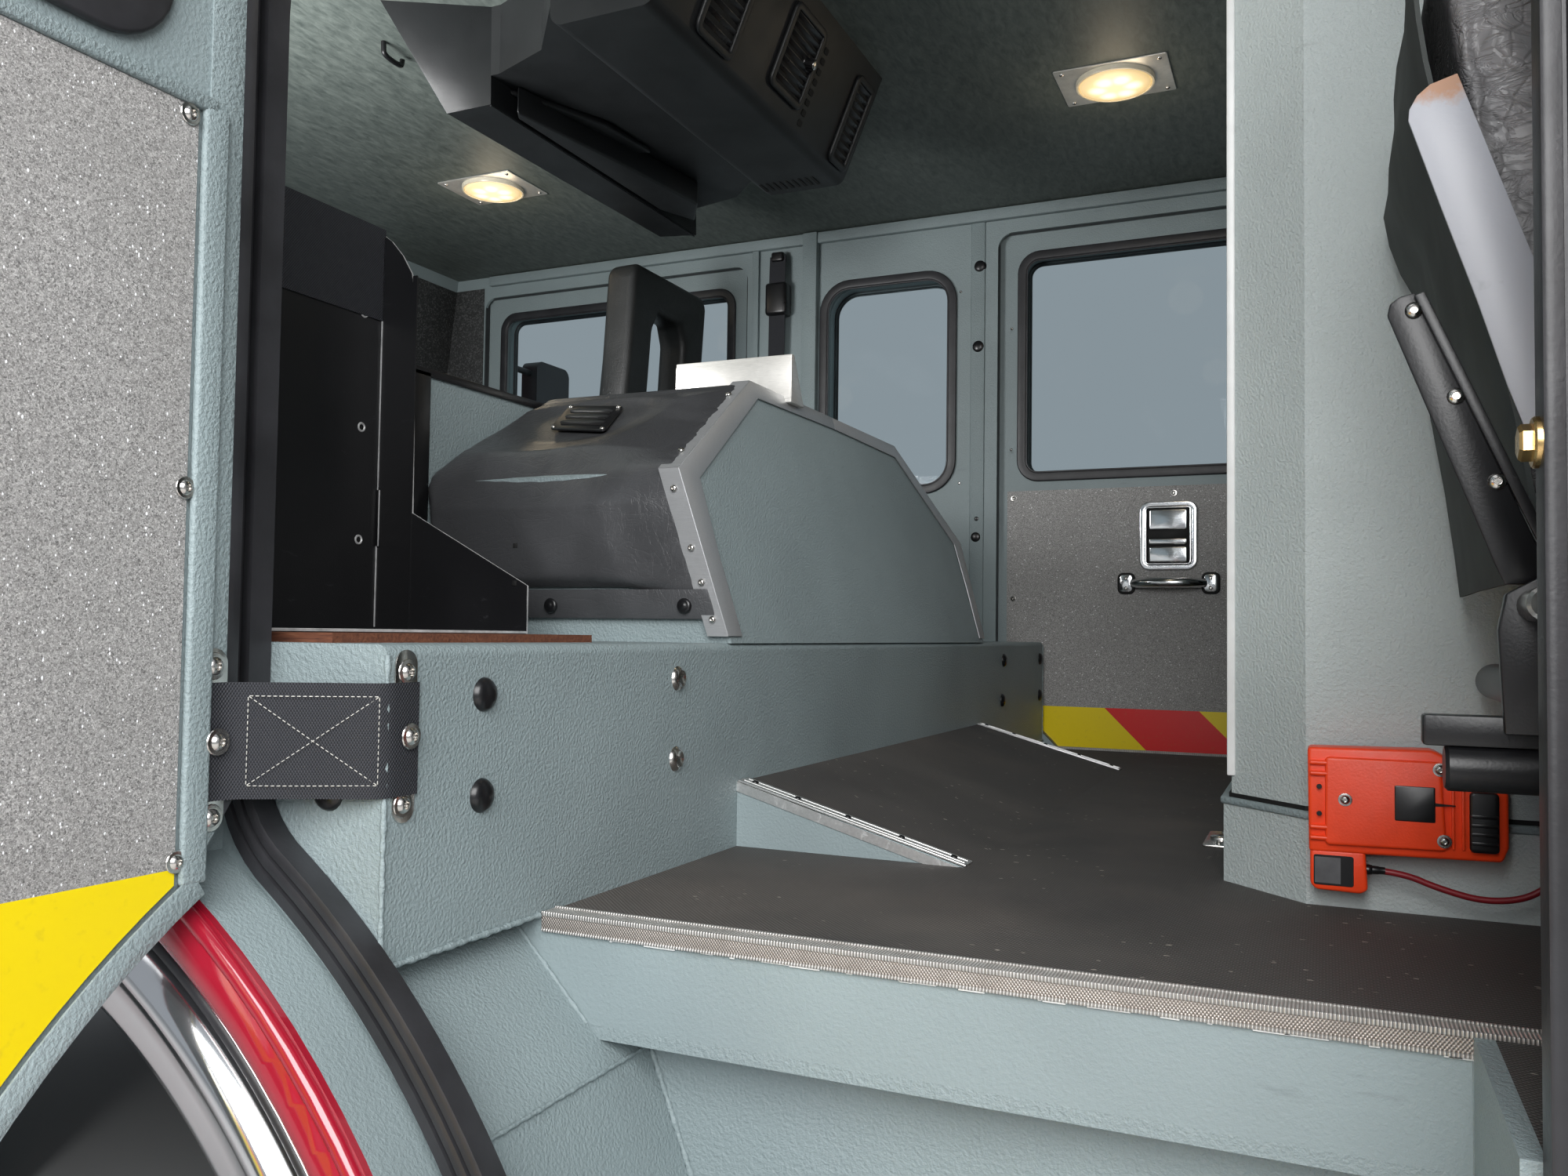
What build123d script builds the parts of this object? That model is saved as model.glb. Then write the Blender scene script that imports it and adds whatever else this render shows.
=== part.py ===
from build123d import *
import os
from math import cos, pi, radians, sin, sqrt, tan

# Four-door tilt crew cab of a pumper fire truck, in millimetres.
# +X is forward, +Y is left, +Z is up. The origin is on the front tilt pivot line, at the cab's centre.

# Cab shell
CAB_W = 2438.0
CAB_L = 3220.0
FRONT_X = 160.0
REAR_X = FRONT_X - CAB_L
SKIN_Y = CAB_W / 2
WALL = 69.0
IN_Y = SKIN_Y - WALL
END_WALL = 40.0
REAR_IN = REAR_X + END_WALL
FLOOR_Z = 250.0
FLOOR_T = 40.0
SILL_Z = FLOOR_Z - 600.0
HEADROOM = 1356.0
CEIL_Z = FLOOR_Z + HEADROOM
LINER_T = 16.0
WALL_TOP = CEIL_Z + LINER_T
ROOF_T = 68.0
ROOF_Z = WALL_TOP + ROOF_T
BELT_Z = FLOOR_Z + 560.0
NOSE_Z = FLOOR_Z - 370.0
NOSE_CUT = 90.0
RAKE = 110.0
FRONT_T = 60.0

# Front axle and wheel arch
AXLE_X = FRONT_X - 1540.0
AXLE_Z = FLOOR_Z - 494.0
ARCH_R = 612.0
LIP_R = ARCH_R + 44.0
LIP_OUT = 10.0
RING_R = ARCH_R - 97.0
RING_OUT_R = ARCH_R - 18.0
DOOR_R = LIP_R + 8.0
OPEN_R = DOOR_R + 36.0
HOUSE_R = ARCH_R + 38.0
HOUSE_T = 10.0
HOUSE_IN_Y = 690.0
HOUSE_SIDES = 16
HOUSE_PLATE_Z = FLOOR_Z - 150.0
HOUSE_REACH = sqrt(HOUSE_R ** 2 - (FLOOR_Z - AXLE_Z) ** 2)

# Doors: openings through the wall, with a rebate outside that the door closes into
REBATE_Y = IN_Y + 9.0
DOOR_T = 45.0
DOOR_Y = SKIN_Y - DOOR_T
LAP = 28.0
DOOR_GAP = 7.0
OPEN_TOP = FLOOR_Z + 1290.0
OPEN_LOW = FLOOR_Z - 420.0
DOOR_LOW = FLOOR_Z - 590.0
JAMB_R = 40.0
JAMB_OFF = 358.0
REAR_JAMBS = (REAR_IN + 421.0, AXLE_X - JAMB_OFF)
FRONT_JAMBS = (AXLE_X + JAMB_OFF, FRONT_X - 268.0)
REAR_LATCH_X = REAR_JAMBS[0] + 443.0
FRONT_LATCH_X = FRONT_JAMBS[0] + 142.0
HINGE_OUT = -7.0
HINGE_BACK = 12.0
HINGE_HEIGHTS = (FLOOR_Z + 210.0, FLOOR_Z + 700.0, FLOOR_Z + 1190.0)
HINGE_LONG = 76.0
HINGE_R = 9.0
PIN_R = 5.0
PIN_LONG = 120.0
PIN_PLAY = 0.3
NOTCH = 26.0
GLASS_T = 6.0
GLASS_LOW = FLOOR_Z + 664.0
GLASS_TOP = FLOOR_Z + 1226.0
SASH = 62.0
PANEL_T = 3.0
PANEL_TOP = FLOOR_Z + 626.0
PANEL_MARGIN = 23.0
PANEL_R = DOOR_R + 18.0
EDGE_ROUND = 7.0
SEAL_W = 32.0
SEAL_IN = 12.0
SEAL_H = 8.0
CORNER_CUT = (55.0, 79.0)

# Sections turned round the axle, as (radius, Y) lines and (middle radius, middle Y, radius, Y) arcs
LIP_SECTION = (
    (ARCH_R, SKIN_Y - 4),
    (ARCH_R, SKIN_Y + 2),
    (ARCH_R + 14, SKIN_Y + LIP_OUT, ARCH_R + 31, SKIN_Y + 6),
    (ARCH_R + 38, SKIN_Y + 9, LIP_R, SKIN_Y + 1),
    (LIP_R, SKIN_Y - 4),
    (ARCH_R, SKIN_Y - 4),
)
RING_SECTION = (
    (ARCH_R - 0.3, SKIN_Y - 30),
    (ARCH_R - 0.3, SKIN_Y - 24),
    (RING_OUT_R, SKIN_Y - 24),
    (RING_OUT_R, SKIN_Y - 8),
    (RING_OUT_R - 19, SKIN_Y + LIP_OUT, RING_OUT_R - 38, SKIN_Y - 6),
    (RING_R + 3, SKIN_Y - 10),
    (RING_R, SKIN_Y - 14),
    (RING_R, SKIN_Y - 30),
    (ARCH_R - 0.3, SKIN_Y - 30),
)

# Side window between the doors
SIDE_WINDOW = (AXLE_X - 236.0, AXLE_X + 120.0, FLOOR_Z + 640.0, FLOOR_Z + 1200.0)
WINDOW_R = 70.0

# Front pivot and rear rests
PIVOT_R = 20.0
PIVOT_Y = (380.0, 440.0)
REST_X = REAR_IN + 120.0
REST_Y = 430.0

# Floor, steps and seat riser
STEP_Y = IN_Y - 203.0
WELL_Y = STEP_Y - 67.0
LIP_H = 90.0
PLATE_T = 12.0
TREAD_Z = OPEN_LOW
RISER_X = AXLE_X - round(HOUSE_REACH) - 56.0
RISER_FRONT = AXLE_X + 570.0
RISER_H = AXLE_Z + HOUSE_R + HOUSE_T + 76.0 - FLOOR_Z
ENGINE_HOLE = (RISER_X + 58.0, FRONT_X - 410.0, 480.0)
RISER_T = 10.0
RISER_EDGE_R = 9.0
RAMP_X = RISER_X - 279.0
RAMP_Y = 555.0
RAMP_H = 76.0

# Engine tunnel: a six-sided hood with a leaning rear panel, then a taller box ahead of it
TUNNEL_BASE_Y = 576.0
TUNNEL_SHOULDER = (597.0, 448.0)
TUNNEL_TOP = (310.0, 606.0)
TUNNEL_LEAN = 0.296
TUNNEL_BOX_X = AXLE_X - 30.0
TUNNEL_END = ENGINE_HOLE[1]
TUNNEL_BOX_Y = 600.0
TUNNEL_BOX_H = 592.0
TUNNEL_T = 12.0
VENT_X = (TUNNEL_BOX_X - 335.0, TUNNEL_BOX_X - 133.0)
VENT_Y = 200.0
VENT_H = 84.0
COVER_T = 14.0
COVER_SET = 45.0
COVER_FOOT = 20.0

# Rear cabinet
CABINET_X = REAR_IN + 610.0
CABINET_Y = 565.0
CABINET_CUT = 73.0
CABINET_T = 25.0
PLINTH_H = 88.0
PLINTH_OUT = 8.0
ROLL_DOOR_T = 10.0

# Overhead console, lower outline first
DUCT_Z = FLOOR_Z + 1180.0
DUCT_LOW = ((-1066.0, 172.0), (-1163.0, 172.0), (-1168.0, -577.0), (-1084.0, -556.0))
DUCT_HIGH = ((-993.0, 267.0), (-1160.0, 172.0), (-1165.0, -577.0), (-1010.0, -640.0))
MIDDLE_Z = FLOOR_Z + 1232.0
MIDDLE_PLAN = ((-1140.0, 172.0), (-1140.0, -560.0), (-1300.0, -520.0), (-1480.0, -340.0), (-1480.0, 380.0),
               (-1400.0, 330.0), (-1300.0, 215.0), (-1180.0, 172.0))
UNIT_Y = (-352.0, 397.0)
UNIT_Z = FLOOR_Z + 1155.0
UNIT_SECTION = ((-1448.0, UNIT_Z), (-1622.0, UNIT_Z), (-1705.0, CEIL_Z), (-1448.0, CEIL_Z))

# Seats
JUMP_Y = (600.0, 1010.0)
JUMP_HINGE = (REAR_IN + 403.0, FLOOR_Z + 274.0)
JUMP_LEAN = 8.0
JUMP_LONG = 450.0
JUMP_THICK = 75.0
JUMP_FACE = 10.0
TRUNNION_R = 9.0
EAR_T = 10.0
DRIVER_X = AXLE_X + 210.0
OFFICER_X = AXLE_X + 610.0
FRONT_SEAT_Y = (625.0, 1075.0)
# Ceiling lights, outside rails and lamps
DOME_X = (REAR_IN + 893.0, FRONT_X - 774.0)
DOME_Y = 534.0
DOME_R = 75.0
RAIL_X = (REAR_JAMBS[0] - 61.0, FRONT_JAMBS[0] - 118.0)
RAIL_R = 16.0
BAR_X = (FRONT_X - 680.0, FRONT_X - 420.0)
BAR_Y = 760.0

# Outside mirrors
MIRROR_SET = 10.0
MIRROR_T = 60.0
MIRROR_Z = (FLOOR_Z + 760.0, FLOOR_Z + 1130.0)

# Cooler cradle and its board
BOARD_T = 8.0
CRADLE_T = 4.0
CRADLE_Y = (700.0, 1114.0)
CRADLE_LONG = 233.0
CRADLE_H = 500.0

# Windshields and grille
WIND_Y = (40.0, 1100.0)
WIND_Z = (FLOOR_Z + 640.0, FLOOR_Z + 1270.0)
GRILLE_Y = 560.0
GRILLE_Z = (FLOOR_Z - 300.0, FLOOR_Z + 330.0)
GRILLE_BARS = 14
# Steering
WHEEL_CENTRE = (FRONT_X - 680.0, 850.0, FLOOR_Z + 700.0)
WHEEL_TILT = 35.0
WHEEL_R = 225.0
HUB_H = 40.0
COLUMN_R = 38.0
# Strap from the open rear left door, and the charger's lead
LEAD_R = 3.0
STRAP_Z = (FLOOR_Z + 127.0, FLOOR_Z + 213.0)
STRAP_T = 3.0
SEAT_GAP = 0.3
STRAP_END_Y = IN_Y - 46.0
CHARGER_X = CABINET_X - CABINET_CUT - 2.0
CHARGER_LONG = 168.0


def block(x0, x1, y0, y1, z0, z1):
    """A box between two corners."""
    return Pos((x0 + x1) / 2, (y0 + y1) / 2, (z0 + z1) / 2) * Box(x1 - x0, y1 - y0, z1 - z0)


def side_prism(points, y0, y1):
    """An outline drawn in X and Z, extruded from y0 to y1."""
    outline = Polyline(*[(x, y0, z) for x, z in points], close=True)
    return extrude(make_face(outline), amount=y1 - y0, dir=(0, 1, 0))


def end_prism(points, x0, x1):
    """An outline drawn in Y and Z, extruded from x0 to x1."""
    outline = Polyline(*[(x0, y, z) for y, z in points], close=True)
    return extrude(make_face(outline), amount=x1 - x0, dir=(1, 0, 0))


def plan_prism(points, z0, z1):
    """An outline drawn in X and Y, extruded from z0 to z1."""
    outline = Polyline(*[(x, y, z0) for x, y in points], close=True)
    return extrude(make_face(outline), amount=z1 - z0, dir=(0, 0, 1))


def rod(start, end, r):
    """A round bar between two points."""
    a, b = Vector(*start), Vector(*end)
    plane = Plane(origin=a, z_dir=b - a)
    return extrude(plane * Circle(r), amount=(b - a).length)


def axle_drum(r, y0, y1):
    """A cylinder on the wheel's axis."""
    return rod((AXLE_X, y0, AXLE_Z), (AXLE_X, y1, AXLE_Z), r)


def house_drum(r, y0, y1):
    """A many-sided drum on the wheel's axis, its flats at radius r."""
    corner = r / cos(pi / HOUSE_SIDES)
    turns = [2 * pi * (i + 0.5) / HOUSE_SIDES for i in range(HOUSE_SIDES)]
    return side_prism([(AXLE_X + corner * cos(a), AXLE_Z + corner * sin(a)) for a in turns], y0, y1)


def mirrored(shape):
    """The same piece on the cab's right side."""
    return mirror(shape, about=Plane.XZ)


def both(shape):
    """A piece and its mirror image as two solids that do not touch."""
    return [shape, mirrored(shape)]


def windshield_slope(z):
    """X of the front skin at a height."""
    if z <= BELT_Z:
        return FRONT_X
    return FRONT_X - RAKE * (z - BELT_Z) / (ROOF_Z - BELT_Z)


def rounded_window(x0, x1, z0, z1, y0, y1, r):
    """A window opening with round corners, through a side wall."""
    return fillet(block(x0, x1, y0, y1, z0, z1).edges().filter_by(Axis.Y), r)


def door_block(jambs, grow, r, low, top, y0, y1):
    """The door's outline, grown past the jambs, with its lower edge round the wheel arch."""
    x0, x1 = jambs
    slab = block(x0 - grow, x1 + grow, y0, y1, low, top + grow)
    slab = fillet(slab.edges().filter_by(Axis.Y).group_by(Axis.Z)[-1], JAMB_R)
    return slab - axle_drum(r, y0 - 1, y1 + 1)


def sash_opening(jambs, y0, y1):
    x0, x1 = jambs
    return rounded_window(x0 + SASH, x1 - SASH, GLASS_LOW, GLASS_TOP, y0, y1, JAMB_R)


def side_wall():
    """Left body side: two rebated door openings, a window, the wheel arch and its red lip."""
    wall = side_prism([
        (REAR_X, SILL_Z),
        (REAR_X, WALL_TOP),
        (windshield_slope(WALL_TOP), WALL_TOP),
        (FRONT_X, BELT_Z),
        (FRONT_X, NOSE_Z),
        (FRONT_X - NOSE_CUT, SILL_Z),
    ], IN_Y, SKIN_Y)
    for jambs in (REAR_JAMBS, FRONT_JAMBS):
        wall -= door_block(jambs, 0, OPEN_R, OPEN_LOW, OPEN_TOP, IN_Y - 1, SKIN_Y + 1)
        wall -= door_block(jambs, LAP + DOOR_GAP, DOOR_R - DOOR_GAP, DOOR_LOW - DOOR_GAP, OPEN_TOP, REBATE_Y,
                           SKIN_Y + 1)
        for z in HINGE_HEIGHTS:
            wall += hinge_lug(jambs, z)
    wall -= rounded_window(*SIDE_WINDOW, IN_Y - 1, SKIN_Y + 1, WINDOW_R)
    wall -= axle_drum(ARCH_R, IN_Y - 1, SKIN_Y + 1)
    lip = arch_section(LIP_SECTION)
    band = axle_drum(LIP_R, REBATE_Y, SKIN_Y) - axle_drum(ARCH_R, REBATE_Y - 1, SKIN_Y + 1)
    band -= block(AXLE_X - LIP_R, AXLE_X + LIP_R, REBATE_Y - 1, SKIN_Y + 1, AXLE_Z - LIP_R, SILL_Z)
    return wall + band + lip


def arch_section(section):
    """A section of (radius, Y, radius, Y) arcs and lines turned round the wheel's axis, above the sill."""
    edges = []
    start = section[0]
    for step in section[1:]:
        a = (AXLE_X + start[0], start[1], AXLE_Z)
        b = (AXLE_X + step[-2], step[-1], AXLE_Z)
        if len(step) == 4:
            edges.append(ThreePointArc(a, (AXLE_X + step[0], step[1], AXLE_Z), b))
        else:
            edges.append(Line(a, b))
        start = step[-2:]
    face = make_face(edges)
    ring = revolve(face, axis=Axis((AXLE_X, 0, AXLE_Z), (0, 1, 0)), revolution_arc=360)
    reach = LIP_R + 50
    return ring - block(AXLE_X - reach, AXLE_X + reach, IN_Y, SKIN_Y + 50, AXLE_Z - reach, SILL_Z)


def fender_ring():
    """The bright metal ring inside the arch: a rolled outer edge, a flat face and a web to the arch."""
    return arch_section(RING_SECTION)


def door_hinge(jambs):
    """Hinge line of a left door, just behind its front edge."""
    return jambs[1] + LAP - HINGE_BACK, SKIN_Y + HINGE_OUT


def hinge_lug(jambs, z):
    """Body half of a left door's hinge: barrel, lug to the rebate's edge, and pin."""
    x, y = door_hinge(jambs)
    half = HINGE_LONG / 2
    edge_x = jambs[1] + LAP + DOOR_GAP
    lug = rod((x, y, z - half), (x, y, z + half), HINGE_R)
    lug += block(x, edge_x + 1, y - HINGE_R + 2, y + 6, z - half, z + half)
    return lug + rod((x, y, z - PIN_LONG / 2), (x, y, z + PIN_LONG / 2), PIN_R)


def hinge_cut(jambs, z):
    """What the hinge at a height takes out of a left door's front edge."""
    x, y = door_hinge(jambs)
    half = HINGE_LONG / 2 + 2
    edge_x = jambs[1] + LAP
    notch = block(edge_x - NOTCH, edge_x + 1, DOOR_Y - 1, SKIN_Y + 1, z - half, z + half)
    reach = PIN_LONG / 2 + 2
    return notch + rod((x, y, z - reach), (x, y, z + reach), PIN_R + PIN_PLAY)


def door_seal(jambs):
    """Left door's rubber seal on the rebate face, all round the opening."""
    face_y = REBATE_Y + SEAL_H
    ring = door_block(jambs, SEAL_W, OPEN_R - SEAL_W, OPEN_LOW - SEAL_W, OPEN_TOP, REBATE_Y, face_y)
    ring += door_block(jambs, 0, OPEN_R, OPEN_LOW, OPEN_TOP, IN_Y, REBATE_Y)
    return ring - door_block(jambs, -SEAL_IN, OPEN_R + SEAL_IN, OPEN_LOW + SEAL_IN, OPEN_TOP, IN_Y - 1,
                             face_y + 1)


def door_hardware(jambs, latch_x):
    """Left door's inside paddle latch, inside grab handle and outside pull handle."""
    face = DOOR_Y - PANEL_T
    z = FLOOR_Z
    latch = block(latch_x - 67, latch_x + 67, face - 14, face, z + 421, z + 592)
    grab = rod((latch_x - 104, face - 42, z + 389), (latch_x + 104, face - 42, z + 389), 9)
    for x in (latch_x - 98, latch_x + 98):
        grab += block(x - 15, x + 15, face - 50, face, z + 368, z + 410)
    out_x = jambs[0] + 60
    pull = block(out_x - 70, out_x + 70, SKIN_Y + 34, SKIN_Y + 48, z + 320, z + 350)
    for x in (out_x - 60, out_x + 60):
        pull += block(x - 14, x + 14, SKIN_Y, SKIN_Y + 40, z + 318, z + 352)
    return [latch, grab, pull]


def door(jambs, latch_x):
    """Left door shut in its rebate: shell, inner panel, glass and hardware."""
    x0, x1 = jambs
    shell = door_block(jambs, LAP, DOOR_R, DOOR_LOW, OPEN_TOP, DOOR_Y, SKIN_Y)
    edge_x = x1 + LAP
    if edge_x < AXLE_X:
        cut_x, cut_z = CORNER_CUT
        low_z = AXLE_Z + sqrt(DOOR_R ** 2 - (AXLE_X - edge_x + cut_x) ** 2)
        corner = [(edge_x - cut_x, low_z), (edge_x + 1, low_z + cut_z), (edge_x + 1, low_z - cut_z)]
        shell -= side_prism(corner, DOOR_Y - 1, SKIN_Y + 1)
    inner_face = shell.faces().filter_by(Axis.Y).sort_by(Axis.Y)[0]
    shell = fillet(inner_face.outer_wire().edges(), EDGE_ROUND)
    shell -= sash_opening(jambs, DOOR_Y - 1, SKIN_Y + 1)
    for z in HINGE_HEIGHTS:
        shell -= hinge_cut(jambs, z)
    hinge_x, hinge_y = door_hinge(jambs)
    glass_y = DOOR_Y + DOOR_T / 2
    glass = sash_opening(jambs, glass_y - GLASS_T / 2, glass_y + GLASS_T / 2)
    panel = block(x0 + PANEL_MARGIN, x1 - PANEL_MARGIN, DOOR_Y - PANEL_T, DOOR_Y, OPEN_LOW - 40, PANEL_TOP)
    panel -= axle_drum(PANEL_R, DOOR_Y - PANEL_T - 1, DOOR_Y + 1)
    return [shell], [panel], [glass], door_hardware(jambs, latch_x), (hinge_x, hinge_y)


def floor_pan():
    """Flat floor with turned-down step edges, cut for the engine and the wheel houses."""
    pan = block(REAR_IN, FRONT_X - FRONT_T, -IN_Y, IN_Y, FLOOR_Z - FLOOR_T, FLOOR_Z)
    x0, x1, hole_y = ENGINE_HOLE
    pan -= block(x0, x1, -hole_y, hole_y, FLOOR_Z - FLOOR_T - 1, FLOOR_Z + 1)
    for side in (1, -1):
        low, high = sorted((side * STEP_Y, side * (IN_Y + 1)))
        lip_low, lip_high = sorted((side * (STEP_Y - PLATE_T), side * STEP_Y))
        for well_x0, well_x1 in step_spans():
            pan -= block(well_x0, well_x1, low, high, FLOOR_Z - FLOOR_T - 1, FLOOR_Z + 1)
            pan += block(well_x0, well_x1, lip_low, lip_high, FLOOR_Z - LIP_H, FLOOR_Z)
        drum_low, drum_high = sorted((side * HOUSE_IN_Y, side * (IN_Y + 1)))
        pan -= house_drum(HOUSE_R + HOUSE_T, drum_low, drum_high)
    return pan


def step_spans():
    """Rear and front step wells, from jamb to wheel house and from wheel house to jamb."""
    return ((REAR_JAMBS[0], AXLE_X - HOUSE_REACH), (AXLE_X + HOUSE_REACH, FRONT_JAMBS[1]))


def step_box(x0, x1):
    """Left step well: a return under the floor edge, a riser panel, a tread and an end plate."""
    box = block(x0, x1, WELL_Y, STEP_Y, FLOOR_Z - LIP_H - PLATE_T, FLOOR_Z - LIP_H)
    box += block(x0, x1, WELL_Y, WELL_Y + PLATE_T, TREAD_Z - PLATE_T, FLOOR_Z - LIP_H)
    box += block(x0, x1, WELL_Y, IN_Y, TREAD_Z - PLATE_T, TREAD_Z)
    end_x = x0 if abs(x0 - AXLE_X) > abs(x1 - AXLE_X) else x1 - PLATE_T
    box += block(end_x, end_x + PLATE_T, WELL_Y, IN_Y, TREAD_Z - PLATE_T, FLOOR_Z - LIP_H)
    box += block(end_x, end_x + PLATE_T, STEP_Y, IN_Y, TREAD_Z - PLATE_T, FLOOR_Z)
    return box - house_drum(HOUSE_R + HOUSE_T, WELL_Y - 1, IN_Y + 1)


def wheel_house():
    """Left wheel house: a many-sided drum of plate, open below and outside."""
    drum = house_drum(HOUSE_R + HOUSE_T, HOUSE_IN_Y, IN_Y)
    drum -= house_drum(HOUSE_R, HOUSE_IN_Y + HOUSE_T, IN_Y + 1)
    drum -= block(AXLE_X - 800, AXLE_X + 800, HOUSE_IN_Y - 1, IN_Y + 1, AXLE_Z - 800, SILL_Z)
    return drum - block(AXLE_X - HOUSE_R, AXLE_X + HOUSE_R, HOUSE_IN_Y - 1, HOUSE_IN_Y + HOUSE_T + 1,
                        AXLE_Z - 800, HOUSE_PLATE_Z)


def seat_riser():
    """Box across the cab that covers the wheel houses and carries the front seats."""
    top = FLOOR_Z + RISER_H
    box = block(RISER_X, RISER_FRONT, -IN_Y, IN_Y, FLOOR_Z, top)
    box = fillet(box.edges().filter_by(Axis.Y).group_by(Axis.Z)[-1], RISER_EDGE_R)
    box -= block(RISER_X + RISER_T, RISER_FRONT - RISER_T, -IN_Y + RISER_T, IN_Y - RISER_T, FLOOR_Z - 1,
                 top - RISER_T)
    for side in (1, -1):
        low, high = sorted((side * HOUSE_IN_Y, side * (IN_Y + 1)))
        box -= house_drum(HOUSE_R + HOUSE_T, low, high)
    x0, _, hole_y = ENGINE_HOLE
    return box - block(x0, RISER_FRONT + 1, -hole_y, hole_y, FLOOR_Z - 1, top + 1)


def hood_outline(grow):
    """Half outline of the tunnel's rear hood, grown outwards."""
    base = FLOOR_Z + RISER_H
    shoulder_y, shoulder_h = TUNNEL_SHOULDER
    top_y, top_h = TUNNEL_TOP
    right = [(-TUNNEL_BASE_Y - grow, base), (-shoulder_y - grow, FLOOR_Z + shoulder_h + grow / 2),
             (-top_y - grow / 2, FLOOR_Z + top_h + grow)]
    left = [(-y, z) for y, z in reversed(right)]
    return right + left


def behind_lean(offset):
    """Everything behind the tunnel's leaning rear panel, set back by an offset."""
    base = FLOOR_Z + RISER_H
    x = RISER_X + offset
    rise = 600
    return side_prism([(x - 400, base - 200), (x - 200 * TUNNEL_LEAN, base - 200),
                       (x + rise * TUNNEL_LEAN, base + rise), (x - 400, base + rise)], -800, 800)


def engine_tunnel():
    """Hood over the engine: leaning rear panel, sloping shoulders, and a square box to the dash."""
    base = FLOOR_Z + RISER_H
    hood = end_prism(hood_outline(0), RISER_X - 50, TUNNEL_BOX_X) - behind_lean(0)
    inner = end_prism(hood_outline(-TUNNEL_T), RISER_X - 50, TUNNEL_BOX_X + TUNNEL_T) - behind_lean(TUNNEL_T)
    top = FLOOR_Z + TUNNEL_BOX_H
    rear_box = block(TUNNEL_BOX_X, RISER_FRONT, -TUNNEL_BOX_Y, TUNNEL_BOX_Y, base, top)
    front_box = block(RISER_FRONT, TUNNEL_END, -TUNNEL_BOX_Y, TUNNEL_BOX_Y, FLOOR_Z, top)
    in_y = TUNNEL_BOX_Y - TUNNEL_T
    cavity = block(TUNNEL_BOX_X + TUNNEL_T, TUNNEL_END - TUNNEL_T, -in_y, in_y, FLOOR_Z - 1, top - TUNNEL_T)
    return hood + rear_box + front_box - inner - cavity


def tunnel_cover():
    """Left padded vinyl cover over the hood's side and shoulder."""
    base = FLOOR_Z + RISER_H
    pad = end_prism(hood_outline(COVER_T), RISER_X, TUNNEL_BOX_X)
    pad -= end_prism(hood_outline(0), RISER_X, TUNNEL_BOX_X)
    pad -= behind_lean(COVER_SET)
    pad -= block(RISER_X - 10, TUNNEL_BOX_X + 10, -900, TUNNEL_TOP[0], base - 10, base + 900)
    return pad - block(RISER_X - 10, TUNNEL_BOX_X + 10, -900, 900, base - 10, base + COVER_FOOT)


def rear_cabinet():
    """Floor-to-ceiling cabinet in the middle of the rear wall, with a plinth and cut corners."""
    x0 = REAR_IN
    cut = CABINET_CUT
    outline = [(x0, -CABINET_Y), (CABINET_X - cut, -CABINET_Y), (CABINET_X, -CABINET_Y + cut),
               (CABINET_X, CABINET_Y - cut), (CABINET_X - cut, CABINET_Y), (x0, CABINET_Y)]
    body = plan_prism(outline, FLOOR_Z, CEIL_Z)
    grow = PLINTH_OUT
    foot = [(x0, -CABINET_Y - grow), (CABINET_X - cut, -CABINET_Y - grow),
            (CABINET_X + grow, -CABINET_Y + cut), (CABINET_X + grow, CABINET_Y - cut),
            (CABINET_X - cut, CABINET_Y + grow), (x0, CABINET_Y + grow)]
    body += plan_prism(foot, FLOOR_Z, FLOOR_Z + PLINTH_H)
    mouth_y = CABINET_Y - cut - CABINET_T
    body -= block(x0 + CABINET_T, CABINET_X + 50, -mouth_y, mouth_y, FLOOR_Z + PLINTH_H + CABINET_T,
                  CEIL_Z - 60)
    door_face = block(CABINET_X - 20, CABINET_X - 20 + ROLL_DOOR_T, -mouth_y, mouth_y,
                      FLOOR_Z + PLINTH_H + CABINET_T, CEIL_Z - 60)
    return body, door_face


def jump_cushion():
    """Left flip-up seat cushion, standing raised and leaning forward."""
    hx, hz = JUMP_HINGE
    y0, y1 = JUMP_Y
    slab = block(JUMP_FACE - JUMP_THICK, JUMP_FACE, y0 + 6, y1 - 6, 18, 18 + JUMP_LONG)
    slab = fillet(slab.edges().filter_by(Axis.Y), 14)
    slab += rod((0, y0 - EAR_T + 1, 0), (0, y1 + EAR_T - 1, 0), TRUNNION_R)
    slab += block(-8, 8, y0 + 30, y0 + 60, 0, 30) + block(-8, 8, y1 - 60, y1 - 30, 0, 30)
    return Pos(hx, 0, hz) * Rot(0, JUMP_LEAN, 0) * slab


def jump_seat():
    """Left jump seat's back, its frame, and the bracket that carries the hinge."""
    hx, hz = JUMP_HINGE
    y0, y1 = JUMP_Y
    wall_x = REAR_IN
    back = side_prism([(wall_x, FLOOR_Z + 330), (hx - 120, FLOOR_Z + 330), (hx - 200, FLOOR_Z + 950),
                       (wall_x, FLOOR_Z + 950)], y0, y1)
    back = fillet(back.edges().filter_by(Axis.Y), 25)
    box = block(wall_x, hx - 80, y0, y1, FLOOR_Z + 200, FLOOR_Z + 360)
    ear = [(hx - 100, FLOOR_Z + 200), (hx + 16, FLOOR_Z + 200), (hx + 20, hz), (hx, hz + 20)]
    ear += [(hx - 100, FLOOR_Z + 350)]
    ears = side_prism(ear, y0 - EAR_T, y0) + side_prism(ear, y1, y1 + EAR_T)
    ears -= rod((hx, y0 - EAR_T - 1, hz), (hx, y1 + EAR_T + 1, hz), TRUNNION_R + PIN_PLAY)
    return back + box + ears


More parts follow.
